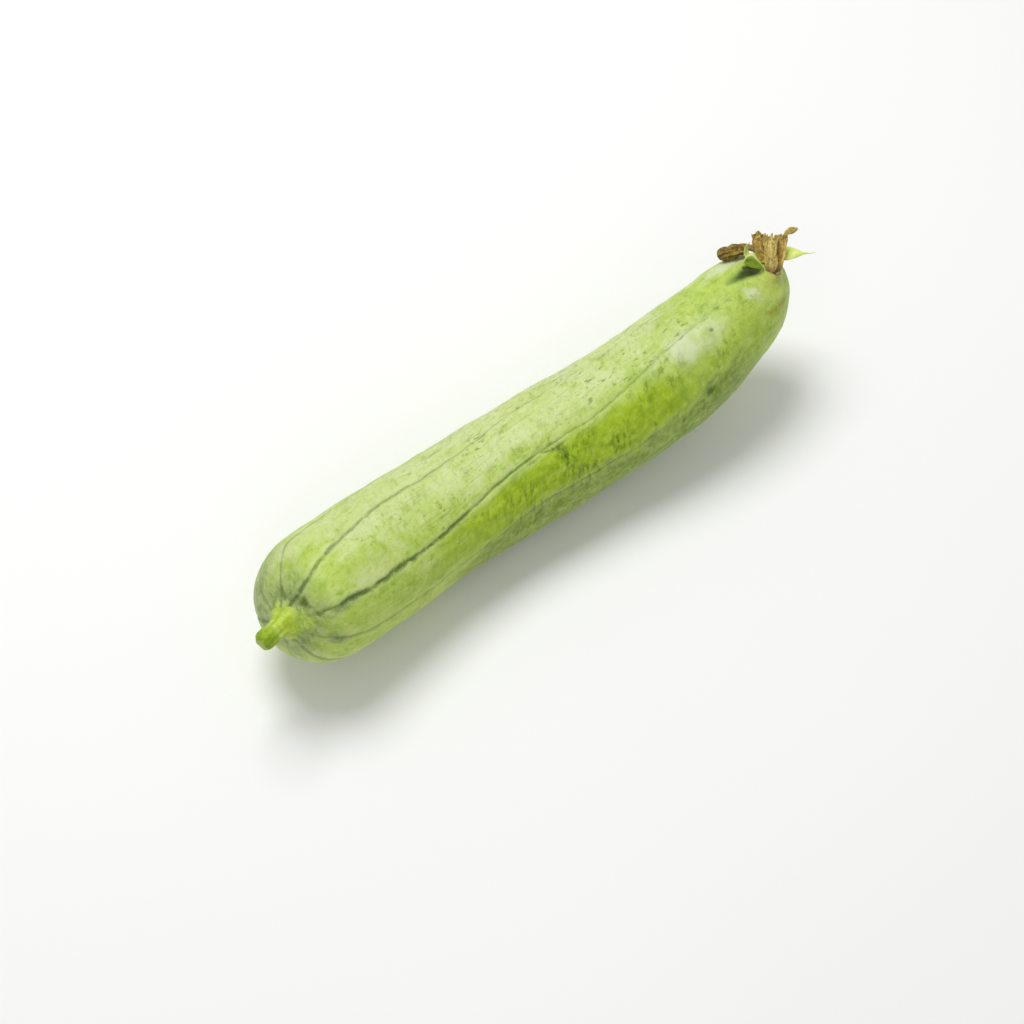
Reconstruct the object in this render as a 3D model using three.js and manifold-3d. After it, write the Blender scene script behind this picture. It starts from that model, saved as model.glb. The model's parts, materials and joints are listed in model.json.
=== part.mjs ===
// Sponge gourd (smooth luffa), one whole fruit lying on its side.
// Millimetres, +Z up. +X runs from the cut stem to the blossom end, the origin is
// the middle of the object's box, on the surface that the fruit rests on.
import * as THREE from "three";
import { mergeVertices } from "three/addons/utils/BufferGeometryUtils.js";
import Module from "manifold-3d";

const wasm = await Module();
wasm.setup();

// ---- driving dimensions ---------------------------------------------------
// growth axis of the fruit: an arc-length curve given by its pitch (up) and
// heading (towards +Y) at five even stations
const AXIS_LENGTH = 281.6;
const AXIS_START = [-136.611, -1.452, 43.676];
const AXIS_PITCH_DEG = [-16.745, -6.823, 2.162, 14.22, 31.677];
const AXIS_HEADING_DEG = [6.486, 1.893, -5.636, -3.61, 13.25];
const AXIS_STEPS = 800;

// girth: radius at eleven even stations, and the two rounded ends
const BODY_RADIUS = [28.69, 28.11, 28.31, 27.59, 27.46, 27.82, 27.32, 26.57, 25.54, 21.64, 17.98];
const STEM_CAP = 30.0;      // length of the rounded stem end
const BLOSSOM_CAP = 27.9;   // length of the rounded blossom end
const CAP_POWER = 2.2;
const RIB_COUNT = 9;
const RIB_HEIGHT = 0.35;
const RIB_START_DEG = 132;
const RIB_TWIST_DEG = -30;  // turn of the ribs from stem to blossom end
const BODY_AROUND = 50;
const BODY_ALONG = 50;

// cut stem
const STEM_SITE = { s: 0.0057, angle: 120 };
const STEM_LENGTH = 16.5;
const STEM_BASE_RADIUS = 5.9;
const STEM_TIP_RADIUS = 4.1;
const STEM_END_DIR = [-0.972, -0.224, 0.084];
const STEM_SEAT_DEPTH = 0.75;

// withered flower
const FLOWER_SITE = { s: 0.9835, angle: 113.5 };
const FLOWER_AXIS = [0.617, 0.0235, 0.786];
const FLOWER_SIDE = [-0.358, 0.8985, 0.255];
const CALYX_RADIUS = 4.0;
const CALYX_HEIGHT = 2.4;
const CALYX_SEAT_DEPTH = 0.9;

const GAP = 0.3;            // left between pieces that grow from one another

// middle of the finished object's box, taken off so that the origin is under it
const CENTRE = [0.485, -0.058];

// ---- small maths ----------------------------------------------------------
const V = (a) => new THREE.Vector3(a[0], a[1], a[2]);
const rad = THREE.MathUtils.degToRad;

// natural cubic spline through even knots on 0..1
function spline(values) {
  const n = values.length - 1;
  const h = 1 / n;
  const m = new Array(n + 1).fill(0);
  const c = new Array(n + 1).fill(0);
  const d = new Array(n + 1).fill(0);
  for (let i = 1; i < n; i++) {
    const rhs = (6 * (values[i + 1] - 2 * values[i] + values[i - 1])) / (h * h);
    const w = 4 - c[i - 1];
    c[i] = 1 / w;
    d[i] = (rhs - d[i - 1]) / w;
  }
  for (let i = n - 1; i > 0; i--) m[i] = d[i] - c[i] * m[i + 1];
  return (t) => {
    const x = Math.min(Math.max(t, 0), 1) * n;
    const i = Math.min(Math.floor(x), n - 1);
    const b = x - i;
    const a = 1 - b;
    return a * values[i] + b * values[i + 1]
      + ((a * a * a - a) * m[i] + (b * b * b - b) * m[i + 1]) * h * h / 6;
  };
}

// the growth axis as a curve with its own frame: side (horizontal) and up
class GrowthAxis extends THREE.Curve {
  constructor() {
    super();
    const pitch = spline(AXIS_PITCH_DEG.map(rad));
    const heading = spline(AXIS_HEADING_DEG.map(rad));
    this.dir = (t) => {
      const p = pitch(t);
      const q = heading(t);
      return new THREE.Vector3(Math.cos(p) * Math.cos(q), Math.cos(p) * Math.sin(q), Math.sin(p));
    };
    this.points = [V(AXIS_START)];
    for (let i = 0; i < AXIS_STEPS; i++) {
      const d = this.dir((i + 0.5) / AXIS_STEPS);
      this.points.push(this.points[i].clone().addScaledVector(d, AXIS_LENGTH / AXIS_STEPS));
    }
  }
  getPoint(t, target = new THREE.Vector3()) {
    const x = Math.min(Math.max(t, 0), 1) * AXIS_STEPS;
    const i = Math.min(Math.floor(x), AXIS_STEPS - 1);
    return target.copy(this.points[i]).lerp(this.points[i + 1], x - i);
  }
  frame(t) {
    const T = this.dir(t);
    const N = new THREE.Vector3(0, 0, 1).cross(T).normalize();
    const B = T.clone().cross(N);
    return { o: this.getPoint(t), T, N, B };
  }
}

const axis = new GrowthAxis();
const girth = spline(BODY_RADIUS);
function bodyRadius(t) {
  const x0 = THREE.MathUtils.clamp(1 - (t * AXIS_LENGTH) / STEM_CAP, 0, 1);
  const x1 = THREE.MathUtils.clamp(1 - ((1 - t) * AXIS_LENGTH) / BLOSSOM_CAP, 0, 1);
  return girth(t) * Math.sqrt(Math.max(0, 1 - x0 ** CAP_POWER)) * Math.sqrt(Math.max(0, 1 - x1 ** CAP_POWER));
}
function bodyPoint(t, angleDeg) {
  const f = axis.frame(t);
  const a = rad(angleDeg);
  const r = bodyRadius(t);
  return f.o.addScaledVector(f.N, r * Math.cos(a)).addScaledVector(f.B, r * Math.sin(a));
}
function bodyNormal(t, angleDeg) {
  const e = 0.002;
  const dt = bodyPoint(t + e, angleDeg).sub(bodyPoint(t - e, angleDeg));
  const da = bodyPoint(t, angleDeg + 2).sub(bodyPoint(t, angleDeg - 2));
  const n = da.cross(dt).normalize();
  return n.dot(bodyPoint(t, angleDeg).sub(axis.getPoint(t))) < 0 ? n.negate() : n;
}

// ---- geometry helpers -----------------------------------------------------
function signedVolume(geometry) {
  const p = geometry.attributes.position;
  const ix = geometry.index;
  const a = new THREE.Vector3(), b = new THREE.Vector3(), c = new THREE.Vector3();
  let v = 0;
  for (let i = 0; i < ix.count; i += 3) {
    a.fromBufferAttribute(p, ix.getX(i));
    b.fromBufferAttribute(p, ix.getX(i + 1));
    c.fromBufferAttribute(p, ix.getX(i + 2));
    v += a.dot(b.cross(c));
  }
  return v / 6;
}

// one closed skin: shared vertices merged, faces with no area dropped, faces out
function closed(geometry) {
  let g = geometry.clone();
  for (const k of ["normal", "uv", "color"]) g.deleteAttribute(k);
  g = mergeVertices(g, 1e-4);
  const ix = [];
  const s = g.index;
  for (let i = 0; i < s.count; i += 3) {
    const [a, b, c] = [s.getX(i), s.getX(i + 1), s.getX(i + 2)];
    if (a !== b && b !== c && c !== a) ix.push(a, b, c);
  }
  g.setIndex(ix);
  if (signedVolume(g) < 0) {
    for (let i = 0; i < ix.length; i += 3) [ix[i + 1], ix[i + 2]] = [ix[i + 2], ix[i + 1]];
    g.setIndex(ix);
  }
  return g;
}
function toSolid(geometry) {
  const g = closed(geometry);
  return new wasm.Manifold(new wasm.Mesh({
    numProp: 3,
    vertProperties: new Float32Array(g.attributes.position.array),
    triVerts: new Uint32Array(g.index.array),
  }));
}
function fromSolid(solid) {
  const m = solid.getMesh();
  const g = new THREE.BufferGeometry();
  g.setAttribute("position", new THREE.BufferAttribute(new Float32Array(m.vertProperties), 3));
  g.setIndex(new THREE.BufferAttribute(new Uint32Array(m.triVerts), 1));
  g.computeVertexNormals();
  return g;
}

// cylinder standing on a plane at `base` with direction `dir`
function cylinderOn(base, dir, radius, height, segments = 32) {
  const g = new THREE.CylinderGeometry(radius, radius, height, segments);
  g.translate(0, height / 2, 0);
  g.applyQuaternion(new THREE.Quaternion().setFromUnitVectors(new THREE.Vector3(0, 1, 0), dir));
  g.translate(base.x, base.y, base.z);
  return g;
}

// lathe whose profile (radius, distance along a curve) is carried along the curve
function latheAlong(profile, segments, place) {
  const g = new THREE.LatheGeometry(profile.map((p) => new THREE.Vector2(p[0], p[1])), segments);
  const p = g.attributes.position;
  const v = new THREE.Vector3();
  for (let i = 0; i < p.count; i++) {
    v.fromBufferAttribute(p, i);
    const w = place(v.x, v.y, v.z);
    p.setXYZ(i, w.x, w.y, w.z);
  }
  const c = closed(g);
  c.computeVertexNormals();
  return c;
}

// table of [t, value] pairs, smoothly interpolated
function table(pairs) {
  return (t) => {
    for (let i = 1; i < pairs.length; i++) {
      if (t <= pairs[i][0]) {
        const u = (t - pairs[i - 1][0]) / (pairs[i][0] - pairs[i - 1][0]);
        return THREE.MathUtils.lerp(pairs[i - 1][1], pairs[i][1], u * u * (3 - 2 * u));
      }
    }
    return pairs[pairs.length - 1][1];
  };
}

// thin closed blade (sepal or petal): a sphere drawn out along a curve, with a
// half width and a half thickness at each station, cupped and folded across
function blade({ points, side, width, thick, cup = 0, fold = 0, folds = 2 }) {
  const curve = new THREE.CatmullRomCurve3(points, false, "centripetal");
  const w = table(width);
  const h = table(thick);
  const g = new THREE.SphereGeometry(1, 12, 12);
  const p = g.attributes.position;
  const v = new THREE.Vector3();
  for (let i = 0; i < p.count; i++) {
    v.fromBufferAttribute(p, i);
    const phi = Math.acos(THREE.MathUtils.clamp(v.y, -1, 1));
    const t = phi / Math.PI;
    const ring = Math.sin(phi);
    const cx = ring > 1e-6 ? v.x / ring : 0;
    const cz = ring > 1e-6 ? v.z / ring : 0;
    const o = curve.getPoint(t);
    const T = curve.getTangent(t);
    const S = side.clone().addScaledVector(T, -side.dot(T)).normalize();
    const U = T.clone().cross(S);
    const k = Math.min(1, 4 * t, 4 * (1 - t));
    const bend = cup * cx * cx + fold * Math.cos(folds * Math.PI * cx) * k;
    const q = ring > 1e-6 ? 1 : 0;
    o.addScaledVector(S, q * cx * w(t)).addScaledVector(U, q * (cz * h(t) + bend * Math.min(1, w(t))));
    p.setXYZ(i, o.x, o.y, o.z);
  }
  const c = closed(g);
  c.computeVertexNormals();
  return c;
}

// ---- fruit ----------------------------------------------------------------
const stations = [];
for (let i = 0; i <= BODY_ALONG; i++) {
  // rows crowd into the rounded ends
  const u = i / BODY_ALONG;
  stations.push(0.5 * u + 0.5 * (0.5 - 0.5 * Math.cos(Math.PI * u)));
}
stations[0] = 0;
stations[BODY_ALONG] = 1;
stations.splice(1, 0, 0.0012, 0.0045);
stations.splice(stations.length - 1, 0, 0.9955, 0.9988);
stations.sort((a, b) => a - b);
const bodyProfile = stations.map((t) => [t <= 0 || t >= 1 ? 0 : bodyRadius(t), t * AXIS_LENGTH]);

const bodySkin = latheAlong(bodyProfile, BODY_AROUND, (x, y, z) => {
  const t = y / AXIS_LENGTH;
  const f = axis.frame(t);
  const r = Math.hypot(x, z);
  if (r < 1e-6) return f.o;
  const a = Math.atan2(-z, x);
  const ease = Math.min(1, (t * AXIS_LENGTH) / 45, ((1 - t) * AXIS_LENGTH) / 45);
  const rib = RIB_HEIGHT * ease * Math.cos(RIB_COUNT * (a - rad(RIB_START_DEG + RIB_TWIST_DEG * t)));
  const k = (r + rib) / r;
  return f.o.addScaledVector(f.N, x * k).addScaledVector(f.B, -z * k);
});

// where the stem and the flower grow out of the skin
const stemPoint = bodyPoint(STEM_SITE.s, STEM_SITE.angle);
const stemNormal = bodyNormal(STEM_SITE.s, STEM_SITE.angle);
const flowerPoint = bodyPoint(FLOWER_SITE.s, FLOWER_SITE.angle);
const flowerNormal = bodyNormal(FLOWER_SITE.s, FLOWER_SITE.angle);
const stemSeat = stemPoint.clone().addScaledVector(stemNormal, -STEM_SEAT_DEPTH);
const calyxSeat = flowerPoint.clone().addScaledVector(flowerNormal, -CALYX_SEAT_DEPTH);

// the flat spot that the fruit lies on, and the two small seats
const ground = new THREE.BoxGeometry(400, 200, 20);
ground.translate(0, 0, -10);
const bodySolid = toSolid(bodySkin)
  .subtract(toSolid(ground))
  .subtract(toSolid(cylinderOn(stemSeat, stemNormal, STEM_BASE_RADIUS + 0.8, 8)))
  .subtract(toSolid(cylinderOn(calyxSeat, flowerNormal, CALYX_RADIUS + 1.0, 8)));
const bodyGeometry = fromSolid(bodySolid);

// ---- cut stem -------------------------------------------------------------
const stemBase = stemSeat.clone().addScaledVector(stemNormal, GAP);
const stemCurve = new THREE.QuadraticBezierCurve3(
  stemBase,
  stemBase.clone().addScaledVector(stemNormal, STEM_LENGTH * 0.42),
  stemBase.clone().addScaledVector(stemNormal, STEM_LENGTH * 0.42)
    .addScaledVector(V(STEM_END_DIR).normalize(), STEM_LENGTH * 0.58),
);
const stemProfile = [
  [0, 0], [STEM_BASE_RADIUS, 0], [STEM_BASE_RADIUS + 0.05, 0.06], [5.2, 0.16], [4.55, 0.28], [4.2, 0.45],
  [4.15, 0.65], [4.3, 0.84], [STEM_TIP_RADIUS + 0.1, 0.94], [3.6, 0.985], [2.0, 1.0], [0, 1.0],
];
const stemGeometry = latheAlong(stemProfile, 24, (x, y, z) => {
  const o = stemCurve.getPoint(y);
  const T = stemCurve.getTangent(y);
  const up = new THREE.Vector3(0, 0, 1);
  const S = up.clone().cross(T).normalize();
  const U = T.clone().cross(S);
  return o.addScaledVector(S, x).addScaledVector(U, -z);
});

// ---- withered flower ------------------------------------------------------
const calyxBase = calyxSeat.clone().addScaledVector(flowerNormal, GAP);
const flowerTurn = new THREE.Quaternion().setFromUnitVectors(new THREE.Vector3(0, 1, 0), flowerNormal);
const calyxGeometry = latheAlong([
  [0, 0], [CALYX_RADIUS - 0.2, 0], [CALYX_RADIUS, 0.5], [CALYX_RADIUS - 0.2, 1.3], [CALYX_RADIUS - 0.5, 2.0],
  [CALYX_RADIUS - 1.1, CALYX_HEIGHT], [0, CALYX_HEIGHT],
], 28, (x, y, z) => new THREE.Vector3(x, y, z).applyQuaternion(flowerTurn).add(calyxBase));

const A = V(FLOWER_AXIS).normalize();
const E1 = V(FLOWER_SIDE).addScaledVector(A, -V(FLOWER_SIDE).dot(A)).normalize();
const E2 = A.clone().cross(E1);
const head = calyxBase.clone().addScaledVector(flowerNormal, CALYX_HEIGHT + GAP);
// direction away from the flower's axis, and a point at height h and radius r
const out = (deg) => E1.clone().multiplyScalar(Math.cos(rad(deg))).addScaledVector(E2, Math.sin(rad(deg)));
const at = (deg, r, h, from = head) => from.clone().addScaledVector(out(deg), r).addScaledVector(A, h);
// the same point given along the flower's two sides and its axis
const along = (x, y, h) => E1.clone().multiplyScalar(x).addScaledVector(E2, y).addScaledVector(A, h);
const spot = (x, y, h) => head.clone().add(along(x, y, h));
// start of a sepal, just outside the calyx ring
function rim(deg, lift = 1.5) {
  const d = out(deg);
  d.addScaledVector(flowerNormal, -d.dot(flowerNormal)).normalize();
  return calyxBase.clone().addScaledVector(flowerNormal, lift).addScaledVector(d, CALYX_RADIUS + GAP + 0.35);
}
const across = (deg) => A.clone().cross(out(deg)).normalize();

const SEPAL_THICK = [[0, 0.3], [0.2, 0.5], [0.8, 0.4], [1, 0.2]];
const sepals = {
  sepal_curled: {
    points: [rim(50), spot(7.0, 5.9, 0.9), spot(9.8, 7.4, 2.1), spot(11.3, 8.6, 1.2), spot(11.0, 9.0, -1.2), spot(9.8, 8.4, -3.2)],
    side: across(37), width: [[0, 1.4], [0.3, 3.0], [0.65, 3.3], [1, 0.8]], thick: SEPAL_THICK, cup: -0.9,
  },
  sepal_upright: {
    points: [rim(6), spot(9.2, 2.3, -2.2), spot(12.2, 2.1, -1.7), spot(13.8, 0.6, -0.1), spot(14.1, -2.0, 2.4)],
    side: across(-20), width: [[0, 1.3], [0.4, 1.7], [1, 0.5]], thick: SEPAL_THICK, cup: 0.4,
  },
  sepal_far: {
    points: [rim(298), spot(5.0, -6.9, 0.2), spot(7.0, -9.8, 0.5), spot(8.2, -12.4, 0.6)],
    side: across(285), width: [[0, 1.3], [0.4, 2.3], [1, 0.5]], thick: SEPAL_THICK, cup: 0.5,
  },
  sepal_right: {
    points: [rim(240, 1.9), spot(-1.0, -6.3, 3.1), spot(-2.4, -7.1, 5.0), spot(-6.4, -8.6, 7.9), spot(-12.0, -10.9, 10.7)],
    side: across(238), width: [[0, 1.3], [0.4, 2.9], [0.62, 2.5], [0.8, 1.0], [1, 0.4]], thick: SEPAL_THICK, cup: 0.6,
  },
  sepal_withered: {
    points: [rim(128, 1.2), spot(-2.9, 5.6, -0.9), spot(-3.6, 6.6, -2.4)],
    side: across(128), width: [[0, 1.1], [0.5, 1.3], [1, 0.5]], thick: SEPAL_THICK, cup: -0.3,
  },
};
const petals = {
  petal_lobe: {
    points: [spot(2.6, -1.4, 1.3), spot(8.0, -4.2, -0.1), spot(12.6, -5.0, -0.9), spot(15.5, -3.6, -3.0), spot(18.1, -2.6, -5.8), spot(20.7, -2.1, -8.8), spot(22.6, -1.3, -10.9)],
    side: across(-4), width: [[0, 0.9], [0.17, 1.1], [0.33, 1.3], [0.5, 2.4], [0.67, 3.2], [0.83, 3.3], [1, 2.2]],
    thick: [[0, 0.6], [0.17, 0.7], [0.33, 1.1], [0.5, 2.1], [0.67, 2.7], [0.83, 2.7], [1, 1.9]], fold: 0.25,
  },
  petal_fan_left: {
    points: [spot(2.2, 0.6, 1.0), spot(6.5, -0.1, 2.2), spot(10.5, -2.3, 4.5), spot(14.0, -5.3, 7.9)],
    side: along(-0.84, -0.27, 0.47), width: [[0, 1.0], [0.35, 2.0], [0.75, 3.2], [1, 2.6]],
    thick: [[0, 0.6], [0.5, 1.2], [1, 1.0]], fold: 0.5, folds: 3,
  },
  petal_fan_mid: {
    points: [spot(0.8, 2.8, 0.7), spot(4.1, 1.9, 4.5), spot(6.8, 0.2, 7.9), spot(9.5, -2.2, 10.9)],
    side: along(-0.84, -0.27, 0.47), width: [[0, 1.1], [0.35, 2.4], [0.75, 3.0], [1, 2.2]],
    thick: [[0, 0.5], [0.5, 0.9], [1, 0.8]], fold: 0.4, folds: 3,
  },
  petal_fan_right: {
    points: [spot(-1.8, -0.3, 1.1), spot(0.3, -1.8, 4.5), spot(2.4, -4.3, 7.9), spot(4.7, -7.0, 11.3)],
    side: along(-0.84, -0.27, 0.47), width: [[0, 1.0], [0.35, 1.9], [0.75, 2.7], [1, 2.2]],
    thick: [[0, 0.5], [0.5, 1.0], [1, 0.9]], fold: 0.4, folds: 3,
  },
  petal_back: {
    points: [spot(-0.2, -2.6, 1.7), spot(3.0, -6.6, 3.2), spot(5.4, -9.8, 5.2), spot(7.9, -12.8, 7.8)],
    side: along(-0.84, -0.27, 0.47), width: [[0, 0.9], [0.35, 1.8], [0.75, 3.0], [1, 2.2]],
    thick: [[0, 0.5], [0.5, 0.9], [1, 0.8]], fold: 0.4, folds: 3,
  },
};

// style: a thin stalk with a thick head
const stylePoints = [spot(0.2, 0.0, 0.8), spot(2.2, -4.4, 4.0), spot(3.3, -8.4, 7.6), spot(2.6, -11.9, 11.2), spot(-0.3, -14.9, 14.6)];
const styleCurve = new THREE.CatmullRomCurve3(stylePoints, false, "centripetal");
const styleProfile = [
  [0, 0], [0.45, 0.0], [0.5, 0.2], [0.45, 0.45], [0.45, 0.68], [0.65, 0.74], [1.2, 0.79], [1.5, 0.86], [1.4, 0.93],
  [0.9, 0.98], [0, 1.0],
];
const styleGeometry = latheAlong(styleProfile, 14, (x, y, z) => {
  const o = styleCurve.getPointAt(y);
  const T = styleCurve.getTangentAt(y);
  const S = E1.clone().addScaledVector(T, -E1.dot(T)).normalize();
  const U = T.clone().cross(S);
  return o.addScaledVector(S, x).addScaledVector(U, -z);
});

// ---- scene graph ----------------------------------------------------------
function mesh(name, geometry, color, roughness) {
  const material = new THREE.MeshStandardMaterial({ color, roughness, metalness: 0 });
  const m = new THREE.Mesh(geometry, material);
  m.name = name;
  return m;
}

const part = new THREE.Group();
part.name = "sponge_gourd";
part.position.set(-CENTRE[0], -CENTRE[1], 0);

const fruit = new THREE.Group();
fruit.add(mesh("gourd_body", bodyGeometry, 0xa9c65c, 0.5));
fruit.add(mesh("stem_stub", stemGeometry, 0xa7c526, 0.55));
part.add(fruit);

const flower = new THREE.Group();
flower.add(mesh("calyx_tube", calyxGeometry, 0x8c7a3c, 0.75));
for (const [name, spec] of Object.entries(sepals)) {
  flower.add(mesh(name, blade(spec), name === "sepal_withered" ? 0xa8895a : 0xb6cf5a, 0.55));
}
for (const [name, spec] of Object.entries(petals)) flower.add(mesh(name, blade(spec), 0x8a6a2e, 0.85));
flower.add(mesh("dried_style", styleGeometry, 0x9b7a33, 0.8));
part.add(flower);

part.updateMatrixWorld(true);
export default part;
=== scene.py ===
import bpy
import json
import math
import numpy as np
from mathutils import Matrix, Vector

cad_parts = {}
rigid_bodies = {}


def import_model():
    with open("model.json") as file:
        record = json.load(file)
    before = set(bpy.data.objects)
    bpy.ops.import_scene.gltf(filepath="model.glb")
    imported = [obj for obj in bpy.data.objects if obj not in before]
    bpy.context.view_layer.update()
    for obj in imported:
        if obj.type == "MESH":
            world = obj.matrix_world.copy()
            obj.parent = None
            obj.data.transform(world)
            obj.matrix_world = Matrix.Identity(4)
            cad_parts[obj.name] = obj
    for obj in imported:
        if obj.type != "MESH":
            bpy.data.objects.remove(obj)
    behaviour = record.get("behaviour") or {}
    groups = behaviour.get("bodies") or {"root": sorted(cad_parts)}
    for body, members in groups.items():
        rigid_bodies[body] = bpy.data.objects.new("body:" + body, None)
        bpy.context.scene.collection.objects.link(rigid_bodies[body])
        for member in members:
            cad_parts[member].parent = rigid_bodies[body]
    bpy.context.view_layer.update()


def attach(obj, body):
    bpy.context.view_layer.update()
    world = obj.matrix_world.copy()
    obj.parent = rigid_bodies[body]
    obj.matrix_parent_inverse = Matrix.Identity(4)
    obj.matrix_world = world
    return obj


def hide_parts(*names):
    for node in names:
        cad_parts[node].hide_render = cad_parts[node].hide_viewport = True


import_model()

MM = 0.001
TAU = 2 * math.pi

# ---------------------------------------------------------------------------
# small maths
# ---------------------------------------------------------------------------


def unit(v):
    v = np.asarray(v, float)
    return v / np.maximum(np.linalg.norm(v, axis=-1, keepdims=True), 1e-12)


def smooth(a, b, x):
    t = np.clip((x - a) / (b - a), 0, 1)
    return t * t * (3 - 2 * t)


def bell(x, centre, width):
    return np.exp(-(((x - centre) / width) ** 2))


def lerp(a, b, t):
    return a + (b - a) * t


def natural(values):
    """Natural cubic spline through even knots on 0..1."""
    v = np.array(values, float)
    n = len(v) - 1
    h = 1 / n
    m_ = np.zeros((n + 1, n + 1))
    b = np.zeros(n + 1)
    m_[0, 0] = m_[n, n] = 1
    for i in range(1, n):
        m_[i, i - 1], m_[i, i], m_[i, i + 1] = 1, 4, 1
        b[i] = 6 * (v[i + 1] - 2 * v[i] + v[i - 1]) / h**2
    m = np.linalg.solve(m_, b)

    def f(t):
        x = np.clip(t, 0, 1) * n
        i = np.minimum(np.floor(x).astype(int), n - 1)
        q = x - i
        p = 1 - q
        return p * v[i] + q * v[i + 1] + ((p**3 - p) * m[i] + (q**3 - q) * m[i + 1]) * h * h / 6

    return f


_rng = np.random.RandomState(20)
_GRAD = unit(_rng.normal(size=(256, 3)))
_PERM = _rng.permutation(256)


def perlin(p, seed=0):
    """Gradient noise, about -0.7 to 0.7, at points p (..., 3)."""
    p = np.asarray(p, float) + np.array([17.3, 5.1, 9.7]) * (seed + 1)
    i = np.floor(p).astype(np.int64)
    f = p - i
    u = f * f * f * (f * (f * 6 - 15) + 10)
    out = 0.0
    for dx in (0, 1):
        wx = u[..., 0] if dx else 1 - u[..., 0]
        for dy in (0, 1):
            wy = u[..., 1] if dy else 1 - u[..., 1]
            for dz in (0, 1):
                wz = u[..., 2] if dz else 1 - u[..., 2]
                k = _PERM[(i[..., 0] + dx) & 255]
                k = _PERM[(k + i[..., 1] + dy) & 255]
                k = _PERM[(k + i[..., 2] + dz) & 255]
                g = _GRAD[k]
                d = (g[..., 0] * (f[..., 0] - dx) + g[..., 1] * (f[..., 1] - dy) + g[..., 2] * (f[..., 2] - dz))
                out = out + wx * wy * wz * d
    return out


def fbm(p, octaves=3, seed=0, gain=0.5):
    total, amp = 0.0, 1.0
    for o in range(octaves):
        total = total + amp * perlin(np.asarray(p) * 2.0**o, seed + 7 * o)
        amp *= gain
    return total


# ---------------------------------------------------------------------------
# the fruit's growth axis and skin, as in the CAD part (millimetres)
# ---------------------------------------------------------------------------
LENGTH = 281.6
START = np.array([-136.611, -1.452, 43.676])
CENTRE = np.array([0.485, -0.058, 0.0])
_pitch = natural(np.radians([-16.745, -6.823, 2.162, 14.22, 31.677]))
_heading = natural(np.radians([6.486, 1.893, -5.636, -3.61, 13.25]))
_girth = natural([28.69, 28.11, 28.31, 27.59, 27.46, 27.82, 27.32, 26.57, 25.54, 21.64, 17.98])
STEM_CAP, BLOSSOM_CAP, CAP_POWER = 30.0, 27.9, 2.2


def direction(t):
    p, q = _pitch(t), _heading(t)
    return np.stack([np.cos(p) * np.cos(q), np.cos(p) * np.sin(q), np.sin(p)], -1)


_N = 800
_points = np.vstack([[0, 0, 0], np.cumsum(direction((np.arange(_N) + 0.5) / _N) * LENGTH / _N, 0)]) + START - CENTRE


def axis_point(t):
    x = np.clip(t, 0, 1) * _N
    i = np.minimum(np.floor(x).astype(int), _N - 1)
    f = (x - i)[..., None]
    return _points[i] * (1 - f) + _points[i + 1] * f


def radius(t):
    x0 = np.clip(1 - t * LENGTH / STEM_CAP, 0, 1)
    x1 = np.clip(1 - (1 - t) * LENGTH / BLOSSOM_CAP, 0, 1)
    return _girth(t) * np.sqrt(np.clip(1 - x0**CAP_POWER, 0, 1)) * np.sqrt(np.clip(1 - x1**CAP_POWER, 0, 1))


def skin_point(t, deg):
    t = np.asarray(t, float)
    a = np.radians(np.asarray(deg, float))
    T = direction(t)
    N = unit(np.cross(np.array([0, 0, 1.0]), T))
    B = np.cross(T, N)
    r = radius(t)
    return axis_point(t) + (r * np.cos(a))[..., None] * N + (r * np.sin(a))[..., None] * B


def skin_normal(t, deg):
    e = 0.002
    dt = skin_point(t + e, deg) - skin_point(t - e, deg)
    da = skin_point(t, deg + 2) - skin_point(t, deg - 2)
    n = unit(np.cross(da, dt))
    return -n if np.dot(n, skin_point(t, deg) - axis_point(np.asarray(t, float))) < 0 else n


# where the stem and the flower grow out of the skin
STEM_S, STEM_A = 0.0057, 120.0
FLOWER_S, FLOWER_A = 0.9835, 113.5
stem_point, stem_normal = skin_point(STEM_S, STEM_A), skin_normal(STEM_S, STEM_A)
flower_point, flower_normal = skin_point(FLOWER_S, FLOWER_A), skin_normal(FLOWER_S, FLOWER_A)

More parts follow.
